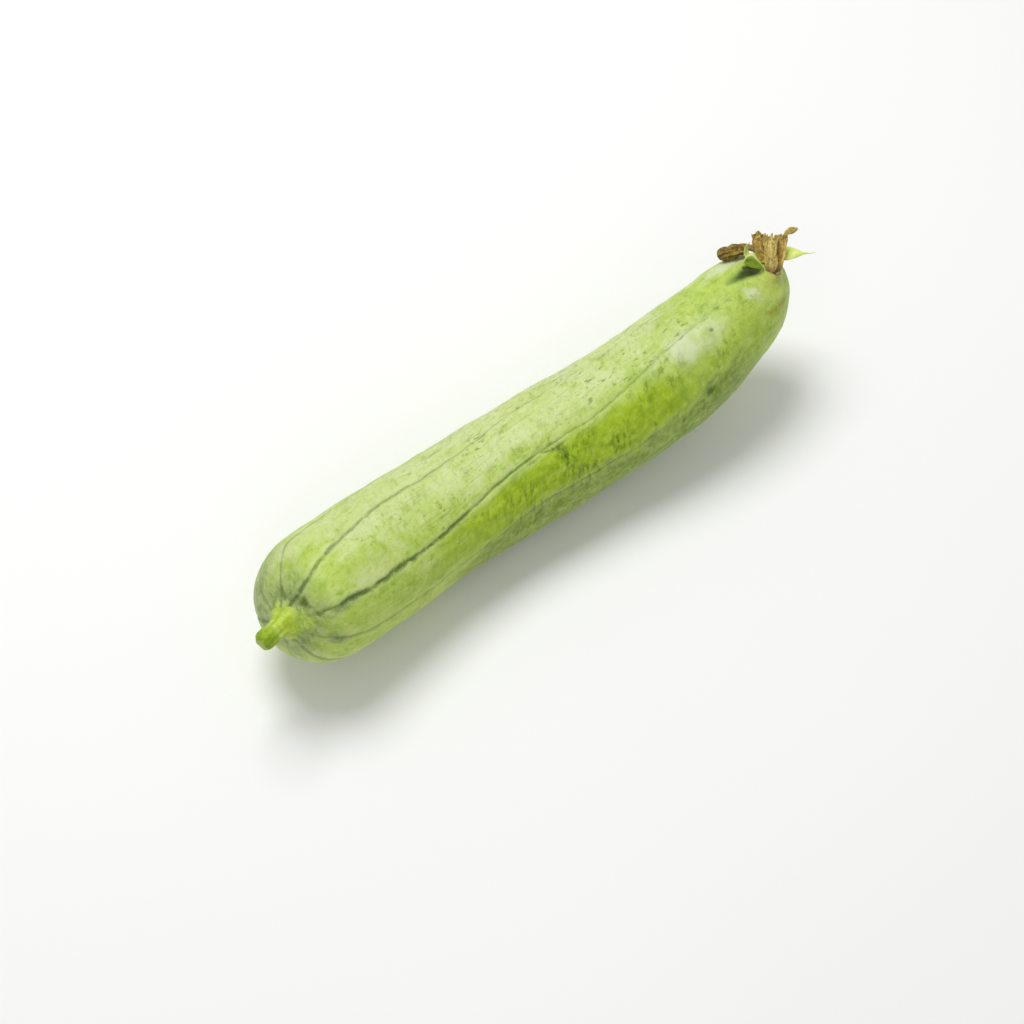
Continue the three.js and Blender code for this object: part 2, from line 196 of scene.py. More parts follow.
# ---------------------------------------------------------------------------
# veins: each one as (station along the fruit, angle round it)
# ---------------------------------------------------------------------------
VEINS = [
    [(0, -78), (0.05, -75), (0.2, -70), (0.35, -77), (0.5, -83), (0.8, -90), (1, -98)],
    [(0, -36), (0.05, -34), (0.2, -30), (0.35, -38), (0.5, -44), (0.7, -50), (0.8, -55), (1, -55)],
    [(0, 24), (0.03, 24), (0.07, 14), (0.1, 8), (0.2, 4), (0.35, -5), (0.5, -13), (0.8, -22), (1, -23)],
    [(0, 78), (0.019, 69.5), (0.032, 64.5), (0.07, 47.5), (0.09, 44.5), (0.2, 36), (0.35, 30), (0.5, 19), (0.7, 12), (1, 12)],
    [(0, 97), (0.028, 98), (0.042, 96), (0.084, 88), (0.124, 83), (0.159, 80.5), (0.21, 75.5), (0.271, 73.5), (0.306, 76), (0.348, 74),
     (0.42, 70.5), (0.469, 64.5), (0.503, 61), (0.54, 61), (0.65, 56), (0.8, 50), (1, 56)],
    [(0, 126), (0.03, 130), (0.054, 131.5), (0.077, 130.5), (0.101, 131), (0.123, 134), (0.155, 133), (0.188, 132.5), (0.229, 133),
     (0.297, 129.5), (0.379, 121), (0.432, 116), (0.488, 112), (0.538, 111), (0.606, 110.5), (0.66, 105), (0.692, 101.5),
     (0.753, 95.5), (0.819, 93), (0.9, 95), (1, 100)],
    [(0, 155), (0.038, 160), (0.071, 165), (0.104, 169.5), (0.148, 173), (0.25, 172), (0.35, 165), (0.449, 156.5), (0.505, 155.5),
     (0.563, 157), (0.609, 158), (0.648, 159), (0.686, 156.5), (0.8, 148), (0.9, 143), (1, 140)],
    [(0, 190), (0.04, 201), (0.1, 211), (0.3, 209), (0.5, 198), (0.7, 196), (0.85, 188), (1, 180)],
    [(0, 232), (0.05, 244), (0.2, 249), (0.35, 246), (0.5, 239), (0.8, 232), (1, 222)],
]
# how dark each vein is drawn, along the fruit
VEIN_INK = [
    [(0, 0.5), (0.1, 0.7), (0.5, 0.5), (0.8, 0.25), (1, 0)],
    [(0, 0.5), (0.08, 1.0), (0.3, 0.9), (0.55, 0.6), (0.8, 0.25), (1, 0)],
    [(0, 0.3), (0.1, 0.6), (0.4, 0.5), (0.7, 0.25), (1, 0)],
    [(0, 0.5), (0.1, 0.48), (0.2, 0.38), (0.45, 0.30), (0.6, 0.2), (0.8, 0.08), (1, 0)],
    [(0, 0.9), (0.03, 0.9), (0.07, 0.75), (0.15, 0.62), (0.25, 0.52), (0.42, 0.46), (0.53, 0.34), (0.6, 0.16), (0.75, 0.08), (0.85, 0.0), (1, 0)],
    [(0, 0.2), (0.035, 0.3), (0.06, 0.85), (0.09, 1.0), (0.2, 1.0), (0.35, 0.9), (0.45, 0.72), (0.52, 0.5), (0.6, 0.4), (0.72, 0.34), (0.80, 0.28), (0.86, 0.16), (0.92, 0), (1, 0)],
    [(0, 0.1), (0.05, 0.5), (0.1, 0.5), (0.16, 0.34), (0.3, 0.26), (0.44, 0.42), (0.6, 0.52), (0.70, 0.36), (0.85, 0.1), (1, 0)],
    [(0, 0.4), (0.1, 0.8), (0.4, 0.8), (0.7, 0.5), (0.85, 0.2), (1, 0)],
    [(0, 0.3), (0.1, 0.6), (0.5, 0.5), (0.8, 0.2), (1, 0)],
]
VEIN_WIDTH = [0.5, 0.62, 0.42, 0.34, 0.46, 0.68, 0.42, 0.6, 0.45]  # half width of the dark line, mm
SECTOR_COLUMNS = [12, 16, 18, 20, 20, 20, 20, 17, 10]
ROWS = 628


def curve_of(pairs, s, blur):
    dense = np.linspace(0, 1, 2001)
    v = np.interp(dense, [p[0] for p in pairs], [p[1] for p in pairs])
    k = np.exp(-0.5 * (np.arange(-120, 121) / (blur * 2000)) ** 2)
    v = np.convolve(np.pad(v, 120, mode="edge"), k / k.sum(), mode="valid")
    return np.interp(s, dense, v)


def mesh_object(name, verts_mm, faces, smooth_shade=True):
    me = bpy.data.meshes.new(name)
    me.from_pydata((np.asarray(verts_mm) * MM).tolist(), [], faces)
    me.update()
    if smooth_shade:
        me.polygons.foreach_set("use_smooth", [True] * len(me.polygons))
    ob = bpy.data.objects.new(name, me)
    bpy.context.scene.collection.objects.link(ob)
    return ob


def set_vectors(me, name, values):
    a = me.attributes.new(name, "FLOAT_VECTOR", "POINT")
    a.data.foreach_set("vector", np.asarray(values, np.float32).ravel())


def build_skin():
    # stations, evenly spaced along the surface
    dense = np.linspace(0, 1, 20001)
    r = radius(dense)
    arc = np.concatenate([[0], np.cumsum(np.hypot(np.diff(r), np.diff(dense) * LENGTH))])
    rows = np.interp(np.linspace(0, arc[-1], ROWS + 2), arc, dense)[1:-1]
    nv = len(VEINS)
    th = np.array([curve_of(v, rows, 0.008) for v in VEINS])  # (veins, rows)
    ink = np.array([curve_of(v, rows, 0.008) for v in VEIN_INK])
    # each vein wanders a little by itself
    for i in range(nv):
        along = rows * LENGTH
        p = np.stack([along / 9.0, np.full_like(along, 3.7 * i), np.zeros_like(along)], -1)
        q = np.stack([along / 3.2, np.full_like(along, 5.9 * i), np.ones_like(along)], -1)
        wander = 0.55 * perlin(p, 3) + 0.28 * perlin(q, 4)
        th[i] += np.degrees(wander / 27.0) * smooth(0.0, 0.05, rows) * 1.3
    th_next = np.vstack([th[1:], th[:1] + 360])
    ink_next = np.vstack([ink[1:], ink[:1]])

    cols_sector, cols_f = [], []
    for i, n in enumerate(SECTOR_COLUMNS):
        half = (n - 1) // 2
        x = (np.arange(1, half + 1) / (half + 0.5 + 0.5 * ((n - 1) % 2 == 0) * 0 + 0.5))
        # columns crowd towards the veins
        h = 0.5 * x**1.55 * (1 - 0.35 * (1 - x))
        h = np.clip(h, 0.012, 0.47)
        f = [0.0] + list(h)
        if (n - 1) % 2:
            f += [0.5]
        f += [1 - v for v in h[::-1]]
        cols_sector += [i] * n
        cols_f += f
    sector = np.array(cols_sector)
    f = np.array(cols_f)
    nc = len(sector)
    w = (sector + f) / nv

    S = np.repeat(rows[:, None], nc, 1)
    TH = th[sector].T * (1 - f) + th_next[sector].T * f
    R = radius(S)
    width = np.radians(th_next[sector].T - th[sector].T) * R  # sector width, mm
    dist = np.minimum(f, 1 - f)[None, :] * width
    near = np.where(f < 0.5, sector, (sector + 1) % nv)
    INK = ink[near].T
    VW = np.array(VEIN_WIDTH)[near][None, :] * (1 - 0.40 * smooth(0.25, 0.44, S)) * (1 + 0.45 * (1 - smooth(0.15, 0.30, S)))

    # the rows near the two ends close in on the stem and on the flower
    a = np.radians(TH)
    X, Y = R * np.cos(a), R * np.sin(a)
    s_true, th_true = S.copy(), TH.copy()
    for site_s, site_a, limit, left in ((STEM_S, STEM_A, 24.0, True), (FLOWER_S, FLOWER_A, 20.0, False)):
        rs = float(radius(np.array(site_s)))
        px, py = rs * math.cos(math.radians(site_a)), rs * math.sin(math.radians(site_a))
        cap = (R < limit) & ((S < 0.5) if left else (S > 0.5))
        k = np.where(cap, np.clip(1 - R / limit, 0, 1) ** 1.5, 0)
        xx, yy = X + px * k, Y + py * k
        rr = np.hypot(xx, yy)
        if left:
            m = dense < 0.2
            grow_r, grow_s = r[m], dense[m]
        else:
            m = dense > 0.8
            grow_r, grow_s = r[m][::-1], dense[m][::-1]
        keep = np.concatenate([[True], np.diff(np.maximum.accumulate(grow_r)) > 1e-9])
        s_new = np.interp(rr, np.maximum.accumulate(grow_r)[keep], grow_s[keep])
        s_true = np.where(cap, s_new, s_true)
        th_true = np.where(cap, np.degrees(np.arctan2(yy, xx)), th_true)
    P = skin_point(s_true, th_true)

    # normals of the plain skin
    Pw = np.concatenate([P[:, -1:], P, P[:, :1]], 1)
    dw = Pw[:, 2:] - Pw[:, :-2]
    ds = np.gradient(P, axis=0)
    NRM = unit(np.cross(dw, ds))

    along = S * LENGTH
    cw, sw = np.cos(TAU * w)[None, :], np.sin(TAU * w)[None, :]
    G = np.stack([along, R * cw, R * sw], -1)  # straightened out, with the veins lengthways

    arc_mm = np.radians(TH) * R
    K = np.stack([along + 0.40 * arc_mm, arc_mm, np.zeros_like(S)], -1)  # slanted, for the wrinkles that run across

    from_stem = np.linalg.norm(P - stem_point, axis=-1)
    from_flower = np.linalg.norm(P - flower_point, axis=-1)
    ends = smooth(4, 40, from_stem) * smooth(4, 34, from_flower)

    # zones of colour, drawn by sector and station
    tm = (th_true + 90) % 360 - 90
    blotch = fbm(G / np.array([26.0, 11.0, 11.0]), 3, 11)
    blotch2 = fbm(G / np.array([8.0, 5.0, 5.0]), 3, 12)
    v1, v2, v3, v4 = (th[k][:, None] for k in (4, 5, 6, 7))
    soft = 22 * blotch2
    # pale: from the far side over the top, thinning out towards the main vein
    pale = smooth(-10, 42, tm + soft) * (1 - 0.62 * smooth(-36, -2, tm - v2 + 16 * blotch) * smooth(0.14, 0.3, S))
    loose = smooth(0.55, 0.68, S)  # from here on the border blurs
    edge = tm - v2 + 5 * blotch * smooth(0.25, 0.6, S) + 22 * smooth(0.62, 0.85, S) * (blotch - 0.3) + 8 * loose * blotch2
    pale *= 1 - np.clip((edge + 1.5 + 6 * loose) / (4.5 + 15 * loose), 0, 1)
    pale *= smooth(0.035, 0.13, S + 0.05 * blotch + 0.05 * (1 - smooth(40, 70, tm))) * (1 - 0.9 * smooth(0.73, 0.86, S + 0.07 * blotch))
    pale *= 1 - 0.55 * smooth(60, 34, tm) * (1 - smooth(0.36, 0.50, S))
    pale *= 1 - 0.50 * smooth(82, 100, tm + 0.5 * soft) * smooth(0.06, 0.10, S) * (1 - smooth(0.29, 0.37, S))
    pale *= 0.86 + 0.55 * blotch + 0.35 * blotch2
    pale = np.maximum(pale, 0.42 * smooth(166, 190, tm + 0.5 * soft) * (1 - smooth(212, 245, tm)) * (1 - smooth(0.08, 0.17, S)))
    pale = np.maximum(pale, 0.34 * smooth(2, 9, tm - v2) * (1 - smooth(156, 174, tm + 0.5 * soft)) * smooth(0.12, 0.19, S) * (1 - smooth(0.29, 0.37, S)) * (0.8 + 1.2 * blotch2))
    # deep green between the main vein and the next one down
    shelf = 3.4 * smooth(0.36, 0.50, S)  # the deep green starts a little below the vein
    edge = tm - v2 - shelf + 7 * blotch + 10 * loose * blotch2
    sat = np.clip((edge + 1.5 + 5 * loose) / (5 + 15 * loose), 0, 1) * (1 - 0.85 * smooth(-12.0, 8.0, tm - v3 + 14 * blotch2))
    sat *= smooth(0.16, 0.42, S + 0.10 * blotch + 0.06 * blotch2) * (1 - 0.66 * smooth(0.60, 0.86, S + 0.08 * blotch))
    sat = np.maximum(sat, 0.5 * smooth(0.80, 0.88, S) * (1 - smooth(0.93, 0.98, S)) * smooth(60, 85, tm + soft) * (1 - smooth(150, 185, tm)) * (0.7 + 0.9 * blotch2))
    # greyer green on the flank under it
    grey = smooth(-9.0, 9.0, tm - v3 + 9 * blotch2) * (1 - 0.7 * smooth(30, 90, tm - v4 + 10 * blotch))
    grey *= smooth(0.20, 0.40, S + 0.05 * blotch) * (1 - 0.75 * smooth(0.78, 0.92, S))
    haze = np.exp(-((from_stem / (19.5 + 5 * blotch + 3 * blotch2 + 3.5 * smooth(110, 70, tm))) ** 2.4))
    haze = np.maximum(haze, 0.85 * np.exp(-((from_stem / 38.0) ** 3)) * smooth(14, -30, tm - 60) * smooth(-30, 0, tm))
    band = bell(dist, 1.6, 2.2) * bell(S, 0.048, 0.022) * ((near == 5) | (near == 6))[None, :]
    haze = np.clip(np.maximum(haze, 0.95 * band * (0.85 + blotch2)), 0, 1)

    def spot(s0, a0, ls, la, p=2.0):
        """An oval patch at station s0 and angle a0, ls by la mm."""
        dx = (s_true - s0) * LENGTH / ls
        dy = np.radians((th_true - a0 + 180) % 360 - 180) * 27 / la
        return np.exp(-(np.hypot(dx, dy) ** p))

    def stroke(stations, width, sharp=2.0):
        """A soft stroke over the skin through (station, angle) points, width in mm at each point."""
        st = np.array(stations, float)
        k = np.linspace(0, len(st) - 1, 8 * (len(st) - 1) + 1)
        i = np.minimum(k.astype(int), len(st) - 2)
        q = (st[i] * (1 - (k - i))[:, None] + st[i + 1] * (k - i)[:, None])
        pts = skin_point(q[:, 0], q[:, 1])
        wd = np.interp(k, np.arange(len(st)), np.broadcast_to(width, len(st)))
        best = np.full(S.shape, 99.0)
        for pnt, ww in zip(pts, wd):
            best = np.minimum(best, np.linalg.norm(P - pnt, axis=-1) / ww)
        return np.exp(-(best ** sharp))

    sat = np.maximum(sat, 0.42 * spot(0.914, 76, 14, 11))

    # wrinkles that run across the fruit, below the main vein
    lower = smooth(1, 7, tm - v2) * (1 - 0.8 * smooth(12, 50, tm - v3))
    mid = smooth(0.26, 0.42, S) * (1 - smooth(0.76, 0.92, S))
    patch = smooth(-0.10, 0.30, fbm(G / np.array([15.0, 9.0, 9.0]), 2, 23))
    wrinkle = lower * mid * (0.22 + 0.78 * patch)
    wrinkle = np.maximum(wrinkle, 0.20 * smooth(0.78, 0.84, S) * (1 - smooth(0.95, 0.98, S)) * smooth(50, 80, tm) * (1 - smooth(150, 190, tm)))
    wrinkle = np.maximum(wrinkle, 0.16 * smooth(0.10, 0.2, S) * smooth(-20, 30, tm))
    crackle = np.zeros_like(S)
    for stations, width, force in (
            ([(0.497, 113.5), (0.509, 115.5), (0.5208, 117), (0.530, 118)], [0.4, 0.6, 0.8, 0.8], 0.8),
            ([(0.5300, 119), (0.5340, 122), (0.5292, 126), (0.520, 127)], [1.4, 2.5, 2.3, 1.4], 1.15),
            ([(0.5317, 128), (0.527, 134.5), (0.5233, 139.5)], [1.0, 0.9, 0.5], 1.0), ([(0.5425, 133), (0.540, 138)], [0.9, 0.6], 1.0),
            ([(0.5492, 140.5), (0.540, 146.5), (0.535, 153)], [0.8, 1.0, 0.7], 1.0), ([(0.6192, 138.5), (0.6167, 144.5)], [0.8, 0.7], 0.9),
            ([(0.6033, 127), (0.597, 132), (0.590, 137.5)], [0.7, 0.8, 0.6], 0.5), ([(0.6875, 142), (0.6833, 149)], [0.8, 0.7], 0.7),
            ([(0.4575, 134), (0.4508, 147)], [0.9, 0.8], 0.55), ([(0.4633, 143), (0.4583, 153)], [0.8, 0.8], 0.5),
            ([(0.4783, 139), (0.4767, 149)], [0.8, 0.7], 0.5), ([(0.415, 131), (0.410, 137)], [0.8, 0.7], 0.4),
            ([(0.512, 161), (0.500, 160), (0.486, 158)], [0.7, 0.8, 0.6], 0.45)):
        crackle = np.maximum(crackle, force * stroke(stations, width, 1.9))
    crackle *= 0.45 + 0.70 * smooth(-0.3, 0.3, perlin(K / np.array([1.1, 2.4, 1.0]), 27))
    under = (tm - v2 - shelf - 0.6) / 57.3 * R  # mm below the start of the deep green
    wrinkle = np.clip(wrinkle + 0.55 * np.clip(crackle, 0, 1), 0, 1.0)

    # dark marks: spots and specks, with painted shade in the crackle creases
    dark = 0.60 * np.clip(crackle, 0, 1) + 0.45 * spot(0.6458, 140.5, 2.3, 1.8) + 0.6 * stroke([(0.6775, 126), (0.6875, 128)], [0.7, 0.5])
    for s0, a0, ls, la in ((0.6242, 98, 1.6, 0.8), (0.6408, 102, 1.2, 0.8), (0.5433, 84.5, 1.5, 0.8), (0.585, 59.5, 1.8, 0.7),
                           (0.5108, 61, 1.8, 0.9), (0.485, 86, 1.5, 1.0), (0.4975, 99.5, 1.2, 0.9)):
        dark = dark + 0.42 * spot(s0, a0, ls, la)
    dark = dark + 0.50 * bell(under, 0, 0.9) * smooth(0.44, 0.49, S) * (1 - smooth(0.655, 0.715, S)) * smooth(-0.2, 0.15, perlin(G / np.array([7.0, 3.0, 3.0]), 28))
    dark = dark + 0.75 * spot(0.784, 155, 2.6, 2.0) + 0.45 * spot(0.765, 160, 2.0, 1.5)
    for s0, a0, ls, la in ((0.786, 63, 2.1, 0.6), (0.794, 66.5, 1.3, 0.6), (0.800, 70, 2.0, 0.6), (0.808, 74, 1.2, 0.7), (0.815, 78.5, 1.7, 0.6), (0.789, 71, 1.0, 0.5),
                           (0.845, 108, 1.0, 1.0), (0.690, 128, 2.2, 0.6), (0.700, 130.5, 1.4, 0.5), (0.83, 97, 0.8, 0.5), (0.775, 64, 1.2, 0.5)):
        dark = dark + 0.6 * spot(s0, a0, ls, la)
    # painted shadow in the notches at the foot of the second vein by the stem
    dark = dark + 0.58 * stroke([(0.021, 76), (0.018, 84), (0.0235, 97), (0.028, 106)], [1.9, 2.2, 3.4, 2.8]) + 0.45 * stroke([(0.0285, 110), (0.031, 118)], [2.0, 1.6])
    dark = dark + 0.3 * spot(0.012, 168, 2.2, 1.2)
    # in the lee of the flower a deep fold runs back over the shoulder; its colour is painted dark green as the shadow
    # the curled sepal casts into it
    fold_and_painted_shadow = stroke([(0.9735, 95), (0.969, 93), (0.9633, 88.5), (0.9583, 85), (0.9508, 83.5), (0.9425, 83), (0.935, 82), (0.9283, 81), (0.921, 80)],
                   [1.4, 2.1, 2.9, 3.3, 3.1, 2.7, 2.3, 1.9, 1.4], 2.1)
    fold_and_painted_shadow = np.maximum(fold_and_painted_shadow, stroke([(0.972, 84), (0.966, 79), (0.960, 76)], [1.8, 2.0, 1.5], 2.1))
    fold_and_painted_shadow = fold_and_painted_shadow * (1 - 0.48 * smooth(0.956, 0.918, s_true))
    # the foot of the main vein spreads out as a dull band
    foot = stroke([(0.038, 129), (0.055, 131), (0.075, 132.4), (0.098, 133)], [2.4, 2.9, 2.6, 1.8], 2.4) * (0.9 + 1.2 * blotch2)
    haze = np.clip(np.maximum(np.maximum(haze, 0.95 * foot), 0.27 * spot(0.80, 66, 20, 14, 2.4)), 0, 1)
    dark = dark + 0.44 * foot * smooth(0.102, 0.07, s_true)
    # whitish bloom, together with painted highlight and sheen on the upper side and by the flower
    bloom_and_highlight = 0.60 * spot(0.820, 102, 17, 10.0, 1.6) * (0.85 + 1.0 * blotch2) + 0.42 * spot(0.757, 104, 18, 6.0, 1.6) * (0.8 + 1.2 * blotch2)
    bloom_and_highlight = bloom_and_highlight + 1.25 * spot(0.935, 112, 3.2, 2.8, 1.6) * (0.8 + 1.6 * perlin(G / 1.6, 31)) + 0.5 * spot(0.931, 101, 2.0, 2.6, 1.6)
    bloom_and_highlight = bloom_and_highlight + 0.15 * spot(0.79, 60, 26, 15, 2.4) * (0.8 + 1.0 * blotch2)
    bloom_and_highlight = bloom_and_highlight + 0.30 * spot(0.969, 151, 4.0, 3.0) + 0.20 * spot(0.800, 110, 13, 5.5, 1.6) * (0.85 + 1.0 * blotch2)
    dark = dark + 0.36 * (spot(0.843, 106.5, 1.7, 1.3) + spot(0.8325, 108.5, 1.0, 0.7) + 0.8 * spot(0.7325, 107.5, 1.6, 0.8))
    bloom_and_highlight = bloom_and_highlight + 0.40 * spot(0.938, 127, 5.0, 4.0, 1.6) + 0.9 * spot(0.945, 50, 12, 6) + 0.45 * smooth(48, 22, tm) * smooth(-10, 14, tm) * smooth(0.42, 0.62, S) * (1 - smooth(0.9, 0.97, S))
    bloom_and_highlight = bloom_and_highlight + 0.40 * spot(0.045, 121, 2.4, 3.0) * (0.8 + 2 * blotch2)
    olive = 0.8 * stroke([(0.958, 164), (0.946, 157), (0.935, 151), (0.926, 145)], [1.8, 2.4, 2.0, 1.4]) * (0.85 + 0.8 * perlin(G / 2.0, 33))
    yellow = np.exp(-((from_flower / 8.5) ** 2)) * 0.85
    collar = np.exp(-((from_stem / 8.8) ** 6)) * (0.9 + 0.7 * blotch2)
    collar = np.maximum(collar, 1.05 * np.exp(-((np.linalg.norm(P - skin_point(0.0175, 131), axis=-1) / 5.2) ** 3)) * (0.95 + 0.5 * blotch2))
    bloom_and_highlight_mask = np.clip(bloom_and_highlight, 0, 1)

    # relief, mm
    rib = 0.34 * 0.5 * (1 - np.cos(TAU * f))[None, :] - 0.14
    groove = -0.52 * INK * bell(dist, 0, 0.85) + 0.13 * INK * bell(dist, 1.9, 0.8)
    lumps = 0.85 * perlin(P / 26.0, 41) + 0.45 * perlin(P / 11.0, 42) + 0.20 * perlin(P / 5.0, 43)
    streak = 0.07 * perlin(G / np.array([22.0, 1.9, 1.9]), 44)
    pebble = 0.34 * perlin(K / np.array([2.9, 6.8, 1.0]), 45) + 0.19 * perlin(K / np.array([1.6, 3.4, 1.0]), 46)
    relief = (rib + lumps * 0.9) * ends + groove * smooth(5, 14, from_stem) * smooth(6, 16, from_flower) + streak * ends
    relief += pebble * (0.22 + 1.15 * wrinkle) * smooth(4, 12, from_stem) * smooth(4, 10, from_flower)
    relief -= 0.30 * np.clip(crackle, 0, 1)
    relief -= 0.18 * np.clip(dark, 0, 1)
    # the skin draws up to the stem and to the flower
    relief += -0.20 * np.cos(TAU * nv * w)[None, :] * bell(from_stem, 11, 5)
    relief += 1.05 * bell(from_stem, 4.4, 3.6) - 0.40 * bell(from_stem, 12.5, 4.0)
    relief += 1.35 * bell(from_flower, 3.4, 2.6) - 0.45 * bell(from_flower, 9.0, 2.6) - 0.14 * np.cos(TAU * nv * w)[None, :] * bell(from_flower, 8, 4)
    relief -= 0.9 * fold_and_painted_shadow * smooth(3.5, 6, from_flower)
    relief += 0.4 * np.clip(stroke([(0.968, 72), (0.957, 70), (0.938, 69), (0.92, 68)], [1.8, 2.2, 2.0, 1.5]), 0, 1)
    V = P + NRM * relief[..., None]
    # the fruit has settled on a small flat spot
    z = V[..., 2]
    V[..., 2] = 0.5 * (z + np.sqrt(z * z + 0.25))

    nr = len(rows)
    pole0 = V[0].mean(0) + stem_normal * -0.1
    pole1 = V[-1].mean(0) + flower_normal * -0.1
    verts = np.vstack([V.reshape(-1, 3), pole0, pole1])
    idx = np.arange(nr * nc).reshape(nr, nc)
    nxt = np.roll(idx, -1, 1)
    quads = np.stack([idx[:-1], nxt[:-1], nxt[1:], idx[1:]], -1).reshape(-1, 4)
    tri0 = np.stack([np.full(nc, nr * nc), nxt[0], idx[0]], -1)
    tri1 = np.stack([np.full(nc, nr * nc + 1), idx[-1], nxt[-1]], -1)
    ob = mesh_object("skin", verts, quads.tolist() + tri0.tolist() + tri1.tolist())
    me = ob.data

    def full(a, end0=None, end1=None):
        a = np.asarray(a, float)
        flat = a.reshape(-1, a.shape[-1])
        e0 = flat[:nc].mean(0) if end0 is None else end0
        e1 = flat[-nc:].mean(0) if end1 is None else end1
        return np.vstack([flat, e0, e1])

    stack = lambda *c: np.stack([np.broadcast_to(x, S.shape) for x in c], -1)
    set_vectors(me, "grow", full(G * MM))
    set_vectors(me, "slant", full(K * MM))
    set_vectors(me, "vein", full(stack(dist, INK * smooth(2, 9, from_flower), VW)))
    set_vectors(me, "zone", full(stack(np.clip(pale, 0, 1), np.clip(sat, 0, 1), np.clip(grey, 0, 1))))
    set_vectors(me, "marks_shade_and_highlight", full(stack(np.clip(dark, 0, 1), bloom_and_highlight_mask, np.clip(olive, 0, 1) - fold_and_painted_shadow)))
    set_vectors(me, "extra", full(stack(np.clip(wrinkle, 0, 1.2), haze, np.clip(collar, 0, 1) - yellow)))

    # one unrolled island for baking, its seam on the underside
    uv = me.uv_layers.new(name="OFBake")
    arc_u = np.interp(rows, dense, arc) / arc[-1]
    uu = 0.01 + 0.98 * arc_u
    wide = np.concatenate([[0], np.cumsum(np.linalg.norm(np.diff(np.concatenate([P[nr // 2], P[nr // 2][:1]]), axis=0), axis=-1))])
    vv = 0.01 + 0.98 * wide / wide[-1]
    jj, ii = np.meshgrid(np.arange(nr - 1), np.arange(nc), indexing="ij")
    quad_uv = np.stack([
        np.stack([uu[jj], vv[ii]], -1), np.stack([uu[jj], vv[ii + 1]], -1),
        np.stack([uu[jj + 1], vv[ii + 1]], -1), np.stack([uu[jj + 1], vv[ii]], -1)], -2).reshape(-1, 2)
    i = np.arange(nc)
    mid_v = (vv[i] + vv[i + 1]) / 2
    t0 = np.stack([np.stack([np.full(nc, 0.002), mid_v], -1), np.stack([np.full(nc, uu[0]), vv[i + 1]], -1), np.stack([np.full(nc, uu[0]), vv[i]], -1)], 1).reshape(-1, 2)
    t1 = np.stack([np.stack([np.full(nc, 0.998), mid_v], -1), np.stack([np.full(nc, uu[-1]), vv[i]], -1), np.stack([np.full(nc, uu[-1]), vv[i + 1]], -1)], 1).reshape(-1, 2)
    uv.data.foreach_set("uv", np.vstack([quad_uv, t0, t1]).astype(np.float32).ravel())
    return ob


# ---------------------------------------------------------------------------
# materials
# ---------------------------------------------------------------------------


